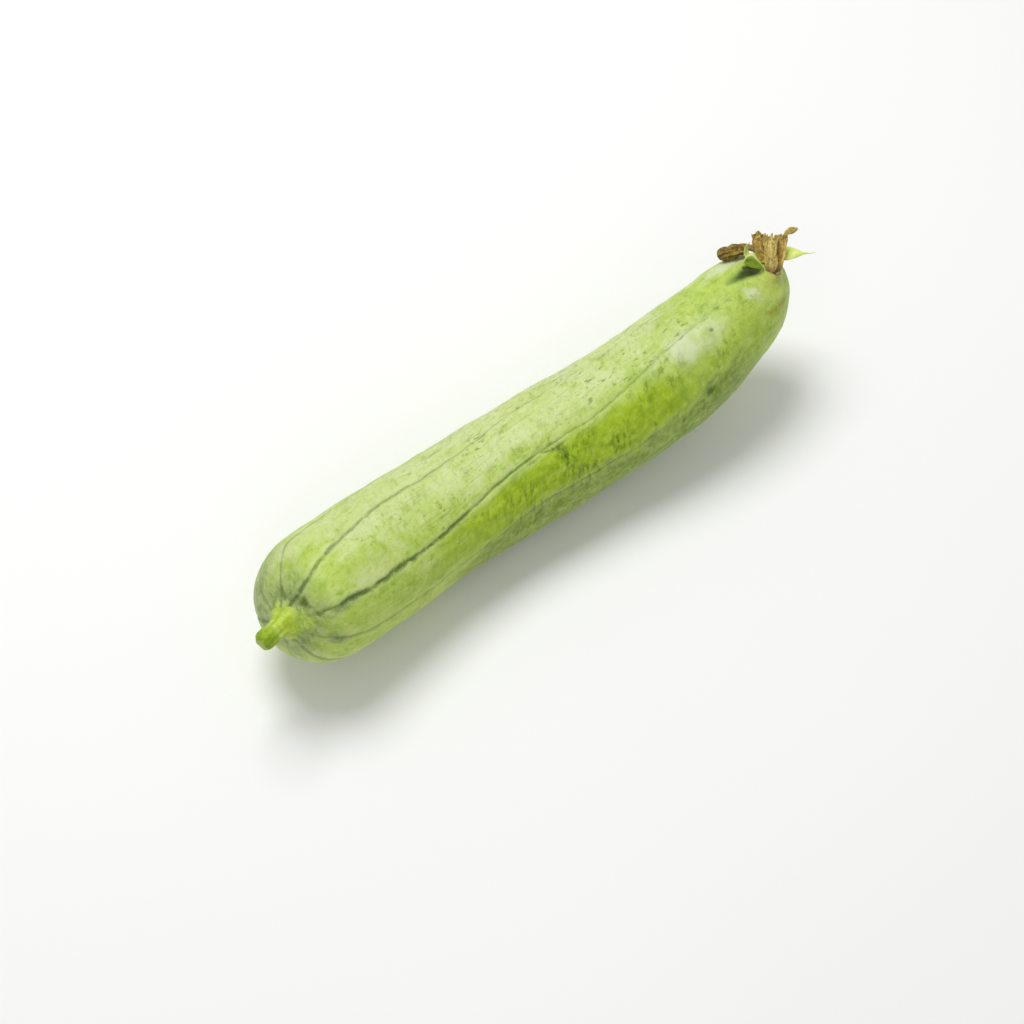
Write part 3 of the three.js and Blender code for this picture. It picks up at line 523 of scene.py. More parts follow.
class Tree:
    """A material's node tree, written as a chain of sums."""

    def __init__(self, name):
        self.mat = bpy.data.materials.new(name)
        self.mat.use_nodes = True
        self.nt = self.mat.node_tree
        self.shader = self.nt.nodes["Principled BSDF"]

    def node(self, kind, **props):
        n = self.nt.nodes.new(kind)
        for k, v in props.items():
            setattr(n, k, v)
        return n

    def put(self, socket, value):
        if isinstance(value, bpy.types.NodeSocket):
            self.nt.links.new(value, socket)
        elif value is not None:
            if hasattr(socket.default_value, "__len__") and not hasattr(value, "__len__"):
                value = (value,) * len(socket.default_value)
            if hasattr(value, "__len__") and len(value) == 3 and len(socket.default_value) == 4:
                value = (*value, 1.0)
            socket.default_value = value

    def math(self, op, a, b=None, c=None, clamp=False):
        n = self.node("ShaderNodeMath", operation=op, use_clamp=clamp)
        for s, v in zip(n.inputs, (a, b, c)):
            self.put(s, v)
        return n.outputs[0]

    def mix(self, fac, a, b, kind="MIX"):
        n = self.node("ShaderNodeMix", data_type="RGBA", blend_type=kind, clamp_factor=True)
        self.put(n.inputs[0], fac)
        self.put(n.inputs[6], a)
        self.put(n.inputs[7], b)
        return n.outputs[2]

    def attribute(self, name):
        return self.node("ShaderNodeAttribute", attribute_name=name).outputs["Vector"]

    def split(self, vector):
        n = self.node("ShaderNodeSeparateXYZ")
        self.put(n.inputs[0], vector)
        return n.outputs[0], n.outputs[1], n.outputs[2]

    def scale(self, vector, by):
        n = self.node("ShaderNodeVectorMath", operation="MULTIPLY")
        self.put(n.inputs[0], vector)
        self.put(n.inputs[1], by)
        return n.outputs[0]

    def add(self, vector, by):
        n = self.node("ShaderNodeVectorMath", operation="ADD")
        self.put(n.inputs[0], vector)
        self.put(n.inputs[1], by)
        return n.outputs[0]

    def noise(self, vector, scale=1.0, detail=2.0, rough=0.5, distortion=0.0):
        n = self.node("ShaderNodeTexNoise")
        self.put(n.inputs["Vector"], vector)
        n.inputs["Scale"].default_value = scale
        n.inputs["Detail"].default_value = detail
        n.inputs["Roughness"].default_value = rough
        n.inputs["Distortion"].default_value = distortion
        return n.outputs["Fac"]

    def range(self, value, a, b, c=0.0, d=1.0, how="SMOOTHSTEP"):
        n = self.node("ShaderNodeMapRange", interpolation_type=how, clamp=True)
        for s, v in zip(n.inputs[:5], (value, a, b, c, d)):
            self.put(s, v)
        return n.outputs[0]

    def objects(self):
        return self.node("ShaderNodeTexCoord").outputs["Object"]

    def bump(self, height, strength, distance, under=None):
        n = self.node("ShaderNodeBump")
        n.inputs["Strength"].default_value = strength
        n.inputs["Distance"].default_value = distance
        self.put(n.inputs["Height"], height)
        if under is not None:
            self.put(n.inputs["Normal"], under)
        return n.outputs[0]

    def finish(self, colour, roughness, normal=None, specular=0.5, sheen=0.0, coat=0.0, subsurface=0.0):
        s = self.shader
        self.put(s.inputs["Base Color"], colour)
        self.put(s.inputs["Roughness"], roughness)
        if normal is not None:
            self.put(s.inputs["Normal"], normal)
        s.inputs["Specular IOR Level"].default_value = specular
        s.inputs["Sheen Weight"].default_value = sheen
        s.inputs["Sheen Roughness"].default_value = 0.5
        s.inputs["Coat Weight"].default_value = coat
        s.inputs["Coat Roughness"].default_value = 0.3
        if subsurface:
            s.inputs["Subsurface Weight"].default_value = subsurface
            s.inputs["Subsurface Radius"].default_value = (0.6, 1.0, 0.2)
            s.inputs["Subsurface Scale"].default_value = 0.002
        return self.mat


def srgb(r, g, b):
    c = np.array([r, g, b]) / 255.0
    return tuple(np.where(c <= 0.04045, c / 12.92, ((c + 0.055) / 1.055) ** 2.4).tolist())


def skin_material():
    t = Tree("gourd_skin")
    grow, slant = t.attribute("grow"), t.attribute("slant")
    dist, ink, vw = t.split(t.attribute("vein"))
    pale, sat, grey = t.split(t.attribute("zone"))
    dark, bloom_and_highlight, olive = t.split(t.attribute("marks_shade_and_highlight"))
    wrinkle, haze, ends = t.split(t.attribute("extra"))
    # negative values of the third mark channel are the painted shadow in the fold under the curled sepal
    fold = t.math("MAXIMUM", t.math("MULTIPLY", olive, -1.0), 0.0)
    olive = t.math("MAXIMUM", olive, 0.0)
    collar = t.math("MAXIMUM", ends, 0.0)
    yellow = t.math("MAXIMUM", t.math("MULTIPLY", ends, -1.0), 0.0)
    mul, add, sub = (lambda a, b: t.math("MULTIPLY", a, b)), (lambda a, b: t.math("ADD", a, b)), (lambda a, b: t.math("SUBTRACT", a, b))

    def n(sx, sr, detail=2.0, rough=0.5, off=0.0, distortion=0.0):
        """Noise with features sx mm long and sr mm wide, along the veins."""
        v = t.scale(grow, (1000 / sx, 1000 / sr, 1000 / sr))
        if off:
            v = t.add(v, (off, off * 1.7, off * 0.6))
        return t.noise(v, 1.0, detail, rough, distortion)

    cloud = n(24, 12, 3, 0.55, 3.1)
    blot = n(7.5, 5.0, 4, 0.62, 8.3, 0.4)
    mottle = n(2.6, 2.0, 4, 0.62, 7.7, 0.3)
    grain = n(0.9, 0.8, 3, 0.6, 1.9)
    streak = n(30, 1.7, 3, 0.6, 12.3)
    contour = n(85, 5.5, 2, 0.5, 17.0)
    wob = add(mul(sub(mottle, 0.5), 0.8), mul(sub(blot, 0.5), 0.9))

    # the three greens
    c = t.mix(t.range(add(mul(cloud, 0.5), mul(blot, 0.5)), 0.36, 0.64), srgb(168, 196, 72), srgb(190, 211, 102))
    c = t.mix(t.range(add(pale, mul(wob, 0.55)), 0.12, 0.78), c, t.mix(t.range(add(mul(cloud, 0.5), mul(blot, 0.5)), 0.36, 0.62), srgb(192, 209, 124), srgb(203, 217, 152)))
    c = t.mix(mul(t.range(add(sat, mul(wob, 0.6)), 0.15, 0.85), 0.96), c, t.mix(t.range(add(mul(mottle, 0.35), mul(blot, 0.65)), 0.34, 0.64), srgb(136, 167, 10), srgb(171, 198, 38)))
    c = t.mix(mul(t.range(add(grey, mul(wob, 0.6)), 0.22, 0.88), 0.86), c, t.mix(t.range(add(mul(mottle, 0.6), mul(blot, 0.4)), 0.38, 0.62), srgb(106, 131, 36), srgb(152, 173, 78)))
    # soft blotches, then fine mottling
    calm = mul(t.range(sat, 0.2, 0.9, 1.0, 0.4), t.range(grey, 0.2, 0.9, 1.0, 0.45))
    c = t.mix(mul(calm, t.range(blot, 0.56, 0.74, 0.0, 0.40)), c, srgb(208, 221, 146))
    c = t.mix(t.range(blot, 0.45, 0.27, 0.0, 0.42), c, srgb(130, 162, 36))
    c = t.mix(mul(calm, t.range(mottle, 0.54, 0.74, 0.0, 0.42)), c, srgb(210, 223, 142))
    c = t.mix(mul(calm, t.range(mottle, 0.46, 0.26, 0.0, 0.46)), c, srgb(118, 148, 34))
    c = t.mix(mul(calm, t.range(grain, 0.55, 0.78, 0.0, 0.22)), c, srgb(224, 232, 176))
    c = t.mix(mul(calm, t.range(grain, 0.45, 0.24, 0.0, 0.24)), c, srgb(112, 140, 40))
    # faint stripes along the fruit, and a few thin lines that wander with them
    c = t.mix(mul(calm, t.range(streak, 0.58, 0.74, 0.0, 0.26)), c, srgb(216, 226, 172))
    c = t.mix(mul(calm, t.range(streak, 0.42, 0.28, 0.0, 0.24)), c, srgb(134, 164, 56))
    near = t.math("ABSOLUTE", sub(contour, 0.5))
    station = t.split(grow)[0]
    body = mul(t.range(station, 0.034, 0.105), t.range(station, 0.276, 0.262))
    thin = mul(body, mul(t.range(near, 0.011, 0.003), t.range(n(9, 3, 2, 0.5, 27.0), 0.44, 0.60)))
    c = t.mix(mul(mul(calm, thin), 0.48), c, srgb(108, 136, 50))
    thin2 = mul(body, mul(t.range(t.math("ABSOLUTE", sub(contour, 0.56)), 0.010, 0.002), t.range(n(7, 3, 2, 0.5, 37.0), 0.46, 0.60)))
    c = t.mix(mul(t.range(sat, 0.1, 0.5, 1.0, 0.12), mul(thin2, 0.30)), c, srgb(226, 234, 184))

    # whitish bloom with painted highlight and sheen on the upper side, haze and collar by the stem, yellowing by the
    # flower, brown blotch
    c = t.mix(mul(t.range(add(bloom_and_highlight, mul(wob, 0.35)), 0.05, 0.95), 0.80), c, srgb(212, 221, 182))
    hz = t.range(add(haze, mul(wob, 0.45)), 0.10, 0.80)
    c = t.mix(mul(hz, 0.84), c, t.mix(t.range(add(mul(mottle, 0.5), mul(blot, 0.5)), 0.38, 0.60), srgb(108, 131, 60), srgb(163, 178, 118)))
    c = t.mix(mul(t.range(add(collar, mul(wob, 0.35)), 0.10, 0.85), 0.80), c, t.mix(t.range(mottle, 0.38, 0.62), srgb(156, 184, 44), srgb(186, 208, 92)))
    c = t.mix(mul(yellow, 0.85), c, t.mix(t.range(mottle, 0.38, 0.62), srgb(182, 184, 80), srgb(202, 205, 114)))
    c = t.mix(mul(olive, 0.85), c, srgb(146, 148, 32))

    # flecks: short dark dashes, most of them strung along the thin lines
    cluster = t.range(n(26, 12, 2, 0.5, 21.0), 0.46, 0.62)
    dash = t.range(n(3.8, 1.1, 1, 0.5, 31.0, 0.2), 0.615, 0.71)
    dots = t.range(n(1.7, 1.4, 1, 0.5, 41.0), 0.66, 0.77)
    fleck = t.math("MULTIPLY", t.math("MAXIMUM", dash, mul(dots, 0.8)), add(0.14, mul(cluster, 0.80)), clamp=True)
    fleck = mul(mul(fleck, mul(t.range(station, 0.020, 0.085, 0.15, 1.0), t.range(station, 0.266, 0.246, 0.25, 1.0))), t.range(sat, 0.1, 0.6, 1.0, 0.45))
    c = t.mix(mul(fleck, 0.68), c, srgb(92, 120, 34))
    c = t.mix(mul(calm, t.range(n(1.6, 1.2, 1, 0.5, 51.0), 0.66, 0.80, 0.0, 0.36)), c, srgb(222, 230, 140))

    # wrinkles: a leathery net of creases, drawn out across the fruit, with painted shade in the creases and pleat
    # valleys and painted highlight on the pleat crests
    warp = t.node("ShaderNodeTexNoise")
    t.put(warp.inputs["Vector"], t.scale(grow, (260, 200, 200)))
    warp.inputs["Detail"].default_value = 2.0
    warp.inputs["Scale"].default_value = 1.0

    def net(sx, sr, amount, off):
        v = t.add(t.scale(grow, (1000 / sx, 1000 / sr, 1000 / sr)), t.scale(warp.outputs["Color"], (amount, amount, amount)))
        k = t.node("ShaderNodeTexVoronoi", feature="DISTANCE_TO_EDGE")
        t.put(k.inputs["Vector"], t.add(v, (off, off, off)))
        k.inputs["Scale"].default_value = 1.0
        return k.outputs["Distance"]

    cell1, cell2 = net(3.2, 7.5, 1.0, 0.0), net(1.9, 4.2, 1.2, 4.7)
    broken = t.range(n(5.0, 4.0, 2, 0.5, 81.0), 0.42, 0.62)
    broken2 = t.range(n(5.4, 5.0, 2, 0.5, 91.0), 0.46, 0.66)
    crease = t.math("MAXIMUM", mul(t.range(cell1, 0.26, 0.0), broken), mul(t.range(cell2, 0.26, 0.0), mul(0.55, broken2)))
    amount = mul(t.range(wrinkle, 0.0, 0.95, 0.0, 1.0, "LINEAR"), t.range(bloom_and_highlight, 0.10, 0.55, 1.0, 0.22))

    def across_noise(sx, sr, off):
        """Noise drawn out across the fruit, a little aslant."""
        return t.noise(t.add(t.scale(slant, (1000 / sx, 1000 / sr, 1.0)), (off, off * 1.3, 0.0)), 1.0, 2, 0.55, 0.25)

    pleat, pleat2 = across_noise(3.3, 7.5, 3.0), across_noise(1.6, 3.8, 13.0)
    pleats = add(mul(pleat, 0.62), mul(pleat2, 0.38))
    # painted shade in the pleat valleys and painted highlight on the pleat crests
    c = t.mix(mul(mul(t.range(pleats, 0.51, 0.38), amount), 0.70), c, srgb(94, 122, 12))
    c = t.mix(mul(mul(t.range(pleats, 0.50, 0.62), amount), 0.46), c, srgb(186, 209, 78))
    # painted shade along the creases of the net
    crease_shade = mul(crease, amount)
    c = t.mix(mul(crease_shade, 0.22), c, srgb(92, 120, 8))
    # dark marks, with painted shade in the creases, the crackle and the notches by the stem
    dk = t.range(add(dark, add(mul(crease, 0.25), mul(sub(grain, 0.5), 0.4))), 0.16, 0.95)
    c = t.mix(mul(mul(dk, t.range(dark, 0.02, 0.2)), 0.86), c, srgb(68, 92, 14))
    # painted shadow of the curled sepal, dark green in the fold
    c = t.mix(mul(t.range(add(fold, mul(sub(mottle, 0.5), 0.25)), 0.04, 0.95), 0.92), c, t.mix(t.range(fold, 0.40, 0.88), srgb(58, 94, 2), srgb(18, 38, 0)))

    # veins: a dark line with a broken edge, paler on both sides of it, in a wide faint band of painted shade for the
    # groove
    brk = n(7, 3, 3, 0.6, 61.0)
    ragged = add(dist, mul(sub(n(1.6, 0.8, 2, 0.6, 71.0), 0.5), 0.85))
    half = mul(vw, t.range(brk, 0.3, 0.62, 0.45, 1.35, "LINEAR"))
    line = t.range(ragged, mul(half, 1.9), mul(half, 0.25))
    # a wide faint band of painted shade in the vein's groove
    wide = mul(mul(t.range(dist, 2.3, 0.0), ink), 0.16)
    c = t.mix(mul(mul(t.range(dist, 4.2, 1.4), ink), 0.20), c, srgb(208, 219, 164))
    c = t.mix(wide, c, srgb(100, 124, 52))
    shade = t.math("MULTIPLY", line, mul(ink, t.range(brk, 0.34, 0.52, 0.42, 1.0)), clamp=True)
    c = t.mix(mul(shade, 0.88), c, t.mix(t.range(grain, 0.4, 0.6), srgb(68, 94, 26), srgb(98, 122, 50)))

    rough = add(t.range(mottle, 0.3, 0.7, 0.38, 0.54, "LINEAR"), mul(shade, 0.12))
    height = add(mul(mottle, 0.9), add(mul(grain, 0.35), mul(blot, 0.8)))
    height = sub(height, mul(mul(mul(t.range(cell1, 0.34, 0.0), broken), amount), 0.6))
    height = add(height, mul(mul(pleats, amount), 3.0))
    height = sub(height, mul(shade, 0.7))
    height = sub(height, mul(fleck, 0.08))
    bump = t.bump(height, 0.7, 0.0004)
    return t.finish(c, rough, bump, specular=0.24, sheen=0.04)


def stem_material():
    t = Tree("stem_green")
    along, ring, edge = t.split(t.attribute("stalk"))
    p = t.objects()
    mottle = t.noise(t.scale(p, 420.0), 1.0, 3, 0.6)
    fine = t.noise(t.scale(p, 1500.0), 1.0, 3, 0.6)
    c = t.mix(t.range(mottle, 0.35, 0.65), srgb(160, 188, 38), srgb(186, 208, 72))
    c = t.mix(t.range(along, 0.20, 0.0, 0.0, 0.55), c, srgb(176, 196, 96))
    tip = t.range(t.math("ADD", along, t.math("MULTIPLY", t.math("SUBTRACT", mottle, 0.5), 0.25)), 0.54, 0.80)
    c = t.mix(tip, c, t.mix(t.range(mottle, 0.35, 0.65), srgb(120, 152, 4), srgb(156, 184, 26)))
    pale = t.range(t.math("ABSOLUTE", t.math("SUBTRACT", along, 0.56)), 0.10, 0.0)
    c = t.mix(t.math("MULTIPLY", pale, t.range(mottle, 0.42, 0.62, 0.05, 0.60)), c, srgb(206, 216, 136))
    c = t.mix(t.math("MULTIPLY", t.range(ring, 0.40, 0.0), 0.30), c, srgb(112, 140, 26))
    c = t.mix(t.range(fine, 0.55, 0.78, 0.0, 0.30), c, srgb(210, 222, 130))
    c = t.mix(t.math("MULTIPLY", edge, 0.85), c, t.mix(t.range(fine, 0.4, 0.62), srgb(142, 168, 40), srgb(180, 196, 96)))
    height = t.math("ADD", mottle, t.math("MULTIPLY", fine, 0.5))
    return t.finish(c, t.range(mottle, 0.3, 0.7, 0.42, 0.58, "LINEAR"), t.bump(height, 0.5, 0.0003), specular=0.32, sheen=0.05)


def sepal_material(name, light, deep, tip, rim=0.0):
    """A green sepal. rim paints a highlight along the margin on one side, where the light catches it."""
    t = Tree(name)
    along, across, side = t.split(t.attribute("blade"))
    p = t.objects()
    mottle = t.noise(t.scale(p, 380.0), 1.0, 3, 0.6)
    fine = t.noise(t.scale(p, 1700.0), 1.0, 3, 0.6)
    v = t.node("ShaderNodeCombineXYZ")
    t.put(v.inputs[0], t.math("MULTIPLY", along, 2.0))
    t.put(v.inputs[1], t.math("MULTIPLY", across, 4.5))
    fibre = t.noise(v.outputs[0], 1.0, 3, 0.6, 0.2)
    c = t.mix(t.range(t.math("ADD", t.math("MULTIPLY", mottle, 0.5), t.math("MULTIPLY", fibre, 0.5)), 0.36, 0.62), srgb(*deep), srgb(*light))
    c = t.mix(t.range(t.math("ABSOLUTE", across), 0.09, 0.0, 0.0, 0.35), c, srgb(*tip))
    c = t.mix(t.range(fibre, 0.58, 0.70, 0.0, 0.35), c, srgb(*tip))
    c = t.mix(t.range(along, 0.70, 1.0, 0.0, 0.60), c, srgb(*tip))
    if rim:
        # painted highlight along one margin
        edge = t.range(t.math("ADD", across, t.math("MULTIPLY", t.math("SUBTRACT", mottle, 0.5), 0.3)), -0.05, -0.45, 0.0, rim)
        c = t.mix(edge, c, srgb(*tip))
    c = t.mix(t.range(fine, 0.56, 0.78, 0.0, 0.25), c, srgb(100, 124, 36))
    height = t.math("ADD", fibre, t.math("MULTIPLY", fine, 0.4))
    return t.finish(c, t.range(mottle, 0.3, 0.7, 0.45, 0.62, "LINEAR"), t.bump(height, 0.5, 0.00025), specular=0.3, sheen=0.08)


def petal_material(name, dark, middle, light, foot=0.6, pale_foot=0.0):
    """Dry crumpled tissue: patches of tan and brown, with painted highlight on the ridges and painted shade in the
    creases.
    """
    t = Tree(name)
    along, across, fold = t.split(t.attribute("blade"))
    p = t.objects()
    v = t.node("ShaderNodeCombineXYZ")
    t.put(v.inputs[0], t.math("MULTIPLY", along, 3.0))
    t.put(v.inputs[1], t.math("MULTIPLY", across, 4.0))
    t.put(v.inputs[2], t.math("MULTIPLY", fold, 0.6))
    fibre = t.noise(v.outputs[0], 1.6, 4, 0.68, 0.6)
    patch = t.noise(t.scale(p, 300.0), 1.0, 3, 0.6, 0.5)
    mottle = t.noise(t.scale(p, 850.0), 1.0, 4, 0.65, 0.3)
    fine = t.noise(t.scale(p, 2600.0), 1.0, 3, 0.6)
    c = t.mix(t.range(t.math("ADD", t.math("MULTIPLY", patch, 0.6), t.math("MULTIPLY", mottle, 0.4)), 0.36, 0.60), srgb(*dark), srgb(*middle))
    c = t.mix(t.math("MULTIPLY", t.range(t.math("ADD", t.math("MULTIPLY", fibre, 0.6), t.math("MULTIPLY", mottle, 0.4)), 0.50, 0.64), 0.85), c, srgb(*light))
    c = t.mix(t.math("MULTIPLY", t.range(fibre, 0.44, 0.30), 0.65), c, srgb(*dark))
    # painted shade in the creases and painted highlight on the ridges of the crumpled relief
    c = t.mix(t.math("MULTIPLY", t.range(fold, 0.1, -0.9), 0.55), c, srgb(dark[0] * 0.75, dark[1] * 0.72, dark[2] * 0.7))
    c = t.mix(t.math("MULTIPLY", t.range(fold, 0.2, 1.1), 0.45), c, srgb(*light))
    if foot:
        c = t.mix(t.range(along, 0.30, 0.05, 0.0, foot), c, srgb(140, 100, 70))
    if pale_foot:
        c = t.mix(t.math("MULTIPLY", t.range(along, 0.50, 0.30, 0.0, pale_foot), t.range(mottle, 0.36, 0.56, 0.3, 1.0)), c, srgb(196, 170, 116))
    spots = t.noise(t.add(t.scale(p, 620.0), (3.0, 7.0, 1.0)), 1.0, 3, 0.6, 0.4)
    c = t.mix(t.range(spots, 0.54, 0.64, 0.0, 0.55), c, srgb(dark[0] * 0.8, dark[1] * 0.76, dark[2] * 0.7))
    c = t.mix(t.range(fine, 0.54, 0.78, 0.0, 0.45), c, srgb(222, 204, 156))
    c = t.mix(t.range(fine, 0.44, 0.22, 0.0, 0.45), c, srgb(92, 66, 28))
    height = t.math("ADD", t.math("MULTIPLY", fibre, 1.0), t.math("ADD", t.math("MULTIPLY", mottle, 1.2), t.math("MULTIPLY", fine, 0.5)))
    return t.finish(c, t.range(mottle, 0.3, 0.7, 0.72, 0.92, "LINEAR"), t.bump(height, 0.9, 0.0005), specular=0.2, sheen=0.12)


# ---------------------------------------------------------------------------
# stem and flower
# ---------------------------------------------------------------------------


def catmull(points):
    """Centripetal curve through the points, as a function of 0..1."""
    P = np.array(points, float)
    P = np.vstack([2 * P[0] - P[1], P, 2 * P[-1] - P[-2]])
    n = len(P) - 3

    def f(t):
        t = np.asarray(t, float)
        x = np.clip(t, 0, 1) * n
        i = np.minimum(np.floor(x).astype(int), n - 1)
        u = (x - i)[..., None]
        p0, p1, p2, p3 = P[i], P[i + 1], P[i + 2], P[i + 3]
        d0 = np.maximum(np.linalg.norm(p1 - p0, axis=-1, keepdims=True), 1e-6) ** 0.5
        d1 = np.maximum(np.linalg.norm(p2 - p1, axis=-1, keepdims=True), 1e-6) ** 0.5
        d2 = np.maximum(np.linalg.norm(p3 - p2, axis=-1, keepdims=True), 1e-6) ** 0.5
        t1 = ((p1 - p0) / d0 - (p2 - p0) / (d0 + d1) + (p2 - p1) / d1) * d1
        t2 = ((p2 - p1) / d1 - (p3 - p1) / (d1 + d2) + (p3 - p2) / d2) * d1
        c2 = -3 * p1 + 3 * p2 - 2 * t1 - t2
        c3 = 2 * p1 - 2 * p2 + t1 + t2
        return p1 + t1 * u + c2 * u**2 + c3 * u**3

    return f


def along_curve(f, t):
    e = 1e-3
    return f(t), unit(f(np.clip(t + e, 0, 1)) - f(np.clip(t - e, 0, 1)))


def table(pairs):
    xs, ys = [p[0] for p in pairs], [p[1] for p in pairs]

    def f(t):
        t = np.asarray(t, float)
        i = np.clip(np.searchsorted(xs, t) - 1, 0, len(xs) - 2)
        x0, x1 = np.array(xs)[i], np.array(xs)[i + 1]
        y0, y1 = np.array(ys)[i], np.array(ys)[i + 1]
        u = np.clip((t - x0) / (x1 - x0), 0, 1)
        return y0 + (y1 - y0) * u * u * (3 - 2 * u)

    return f


def tube(name, centre, side, radii, around, push=None, attribute="stalk", values=None):
    """A closed stalk: rings of the given radii on the points of centre. push moves each ring's points."""
    c = np.asarray(centre, float)
    T = unit(np.gradient(c, axis=0))
    side = np.asarray(side, float)
    S = unit(side - (T @ side)[:, None] * T)
    U = np.cross(T, S)
    a = np.linspace(0, TAU, around, endpoint=False)
    r = np.asarray(radii, float)[:, None] * np.ones_like(a)
    if push is not None:
        r = r + push(np.linspace(0, 1, len(c))[:, None], a[None, :])
    V = c[:, None, :] + (r * np.cos(a))[..., None] * S[:, None, :] + (r * np.sin(a))[..., None] * U[:, None, :]
    nr, nc = r.shape
    verts = np.vstack([V.reshape(-1, 3), c[0], c[-1]])
    idx = np.arange(nr * nc).reshape(nr, nc)
    nxt = np.roll(idx, -1, 1)
    quads = np.stack([idx[:-1], nxt[:-1], nxt[1:], idx[1:]], -1).reshape(-1, 4)
    t0 = np.stack([np.full(nc, nr * nc), nxt[0], idx[0]], -1)
    t1 = np.stack([np.full(nc, nr * nc + 1), idx[-1], nxt[-1]], -1)
    ob = mesh_object(name, verts, quads.tolist() + t0.tolist() + t1.tolist())
    if values is not None:
        v = values(np.linspace(0, 1, nr)[:, None] * np.ones((1, nc)), np.ones((nr, 1)) * a[None, :], r)
        set_vectors(ob.data, attribute, np.vstack([v.reshape(-1, 3), v[0].mean(0), v[-1].mean(0)]))
    return ob


def sheet_solid(name, pos, nt, nx, thick, fold=None):
    """A thin closed leaf. pos(t, x) gives the middle surface for t in 0..1, x in -1..1, in mm; thick(t, x) its thickness."""
    t, x = np.meshgrid(np.linspace(0, 1, nt), np.linspace(-1, 1, nx), indexing="ij")
    M = pos(t, x)
    n = unit(np.cross(np.gradient(M, axis=1), np.gradient(M, axis=0)))
    h = thick(t, x)[..., None] / 2
    front, back = M + n * h, M - n * h
    verts = np.vstack([front.reshape(-1, 3), back.reshape(-1, 3)])
    k = nt * nx
    i = np.arange(k).reshape(nt, nx)
    f = np.stack([i[:-1, :-1], i[:-1, 1:], i[1:, 1:], i[1:, :-1]], -1).reshape(-1, 4)
    b = np.stack([i[:-1, :-1], i[1:, :-1], i[1:, 1:], i[:-1, 1:]], -1).reshape(-1, 4) + k
    rim = np.concatenate([i[0, :-1], i[:-1, -1], i[-1, :0:-1], i[:0:-1, 0]])
    nxt = np.roll(rim, -1)
    sides = np.stack([nxt, rim, rim + k, nxt + k], -1)
    ob = mesh_object(name, verts, f.tolist() + b.tolist() + sides.tolist())
    # the petal material paints shade in the creases and highlight on the ridges from this fold value
    g = (fold(t, x) if fold is not None else np.zeros_like(t))
    v = np.stack([t, x, g], -1).reshape(-1, 3)
    v2 = np.stack([t, x, -g], -1).reshape(-1, 3)
    set_vectors(ob.data, "blade", np.vstack([v, v2]))
    return ob


GAP = 0.3
STEM_SEAT, STEM_LENGTH = 0.75, 16.5
STEM_END = unit([-0.972, -0.224, 0.084])
stem_base = stem_point - stem_normal * (STEM_SEAT - GAP)


def build_stem():
    p0 = stem_base - stem_normal * 1.1
    b0 = stem_base
    b1 = b0 + stem_normal * STEM_LENGTH * 0.42
    b2 = b1 + STEM_END * STEM_LENGTH * 0.58
    u = np.linspace(0, 1, 110)[:, None]
    curve = (1 - u) ** 2 * b0 + 2 * u * (1 - u) * b1 + u**2 * b2
    lead = p0 + (b0 - p0) * np.linspace(0, 1, 6)[:-1, None]
    c = np.vstack([lead, curve])
    t = np.concatenate([np.zeros(5), u[:, 0]])
    prof = table([(0, 7.3), (0.05, 6.7), (0.12, 5.95), (0.24, 5.1), (0.36, 4.5), (0.5, 4.05), (0.62, 4.0), (0.78, 4.3), (0.9, 4.3), (0.96, 4.0), (1.0, 3.3)])
    r = prof(t)
    # rounded rim, then a slightly hollow cut face
    end, T = c[-1], unit(c[-1] - c[-2])
    rim = [(2.95, 0.16), (2.6, 0.26), (2.2, 0.32), (1.8, 0.36), (1.3, 0.39), (0.8, 0.41), (0.3, 0.42)]
    c = np.vstack([c, [end + T * d for _, d in rim]])
    r = np.concatenate([r, [q for q, _ in rim]])
    t_all = np.concatenate([t, np.ones(len(rim))])

    def push(k, a):
        tt = t_all[:, None] * np.ones_like(a)
        on_side = (r > 3.2)[:, None]
        ribs = 0.24 * np.cos(5 * a + 0.5 + 1.2 * tt) + 0.10 * np.cos(10 * a + 2.2)
        foot = 0.55 * bell(tt, 0.0, 0.12) * np.cos(3 * a + 1.0)
        p = np.stack([tt * 16, 4.2 * np.cos(a) * np.ones_like(tt), 4.2 * np.sin(a) * np.ones_like(tt)], -1)
        lump = 0.32 * perlin(p / 4.0, 51) + 0.14 * perlin(p / 1.6, 52)
        waist = -0.28 * bell(tt, 0.56, 0.05) * (0.6 + 0.8 * perlin(p / 3.0, 53))
        return (ribs * (0.6 + 0.5 * tt) + foot + lump + waist) * np.where(on_side, 1.0, (r[:, None] / 3.3) ** 1.5)

    def values(k, a, rr):
        tt = t_all[:, None] * np.ones_like(a)
        ring = 0.5 + 0.5 * np.cos(5 * a + 0.5 + 1.2 * tt)
        face = ((np.arange(len(r)) >= len(r) - len(rim) + 1)[:, None]) * np.ones_like(a)
        return np.stack([tt, ring, face], -1)

    return tube("stem", c, [0, 0, 1], r, 96, push, "stalk", values)


FLOWER_AXIS = unit([0.617, 0.0235, 0.786])
_side = np.array([-0.358, 0.8985, 0.255])
E1 = unit(_side - np.dot(_side, FLOWER_AXIS) * FLOWER_AXIS)
E2 = np.cross(FLOWER_AXIS, E1)
CALYX_RADIUS, CALYX_HEIGHT, CALYX_SEAT = 4.0, 2.4, 0.9
calyx_base = flower_point - flower_normal * (CALYX_SEAT - GAP)
head = calyx_base + flower_normal * (CALYX_HEIGHT + GAP)


def along(x, y, h):
    return E1 * x + E2 * y + FLOWER_AXIS * h


def spot3(x, y, h):
    return head + along(x, y, h)


def out(deg):
    return E1 * math.cos(math.radians(deg)) + E2 * math.sin(math.radians(deg))


def across(deg):
    return unit(np.cross(FLOWER_AXIS, out(deg)))


def rim(deg, lift=1.5):
    d = out(deg)
    d = unit(d - np.dot(d, flower_normal) * flower_normal)
    return calyx_base + flower_normal * lift + d * (CALYX_RADIUS + GAP + 0.35)


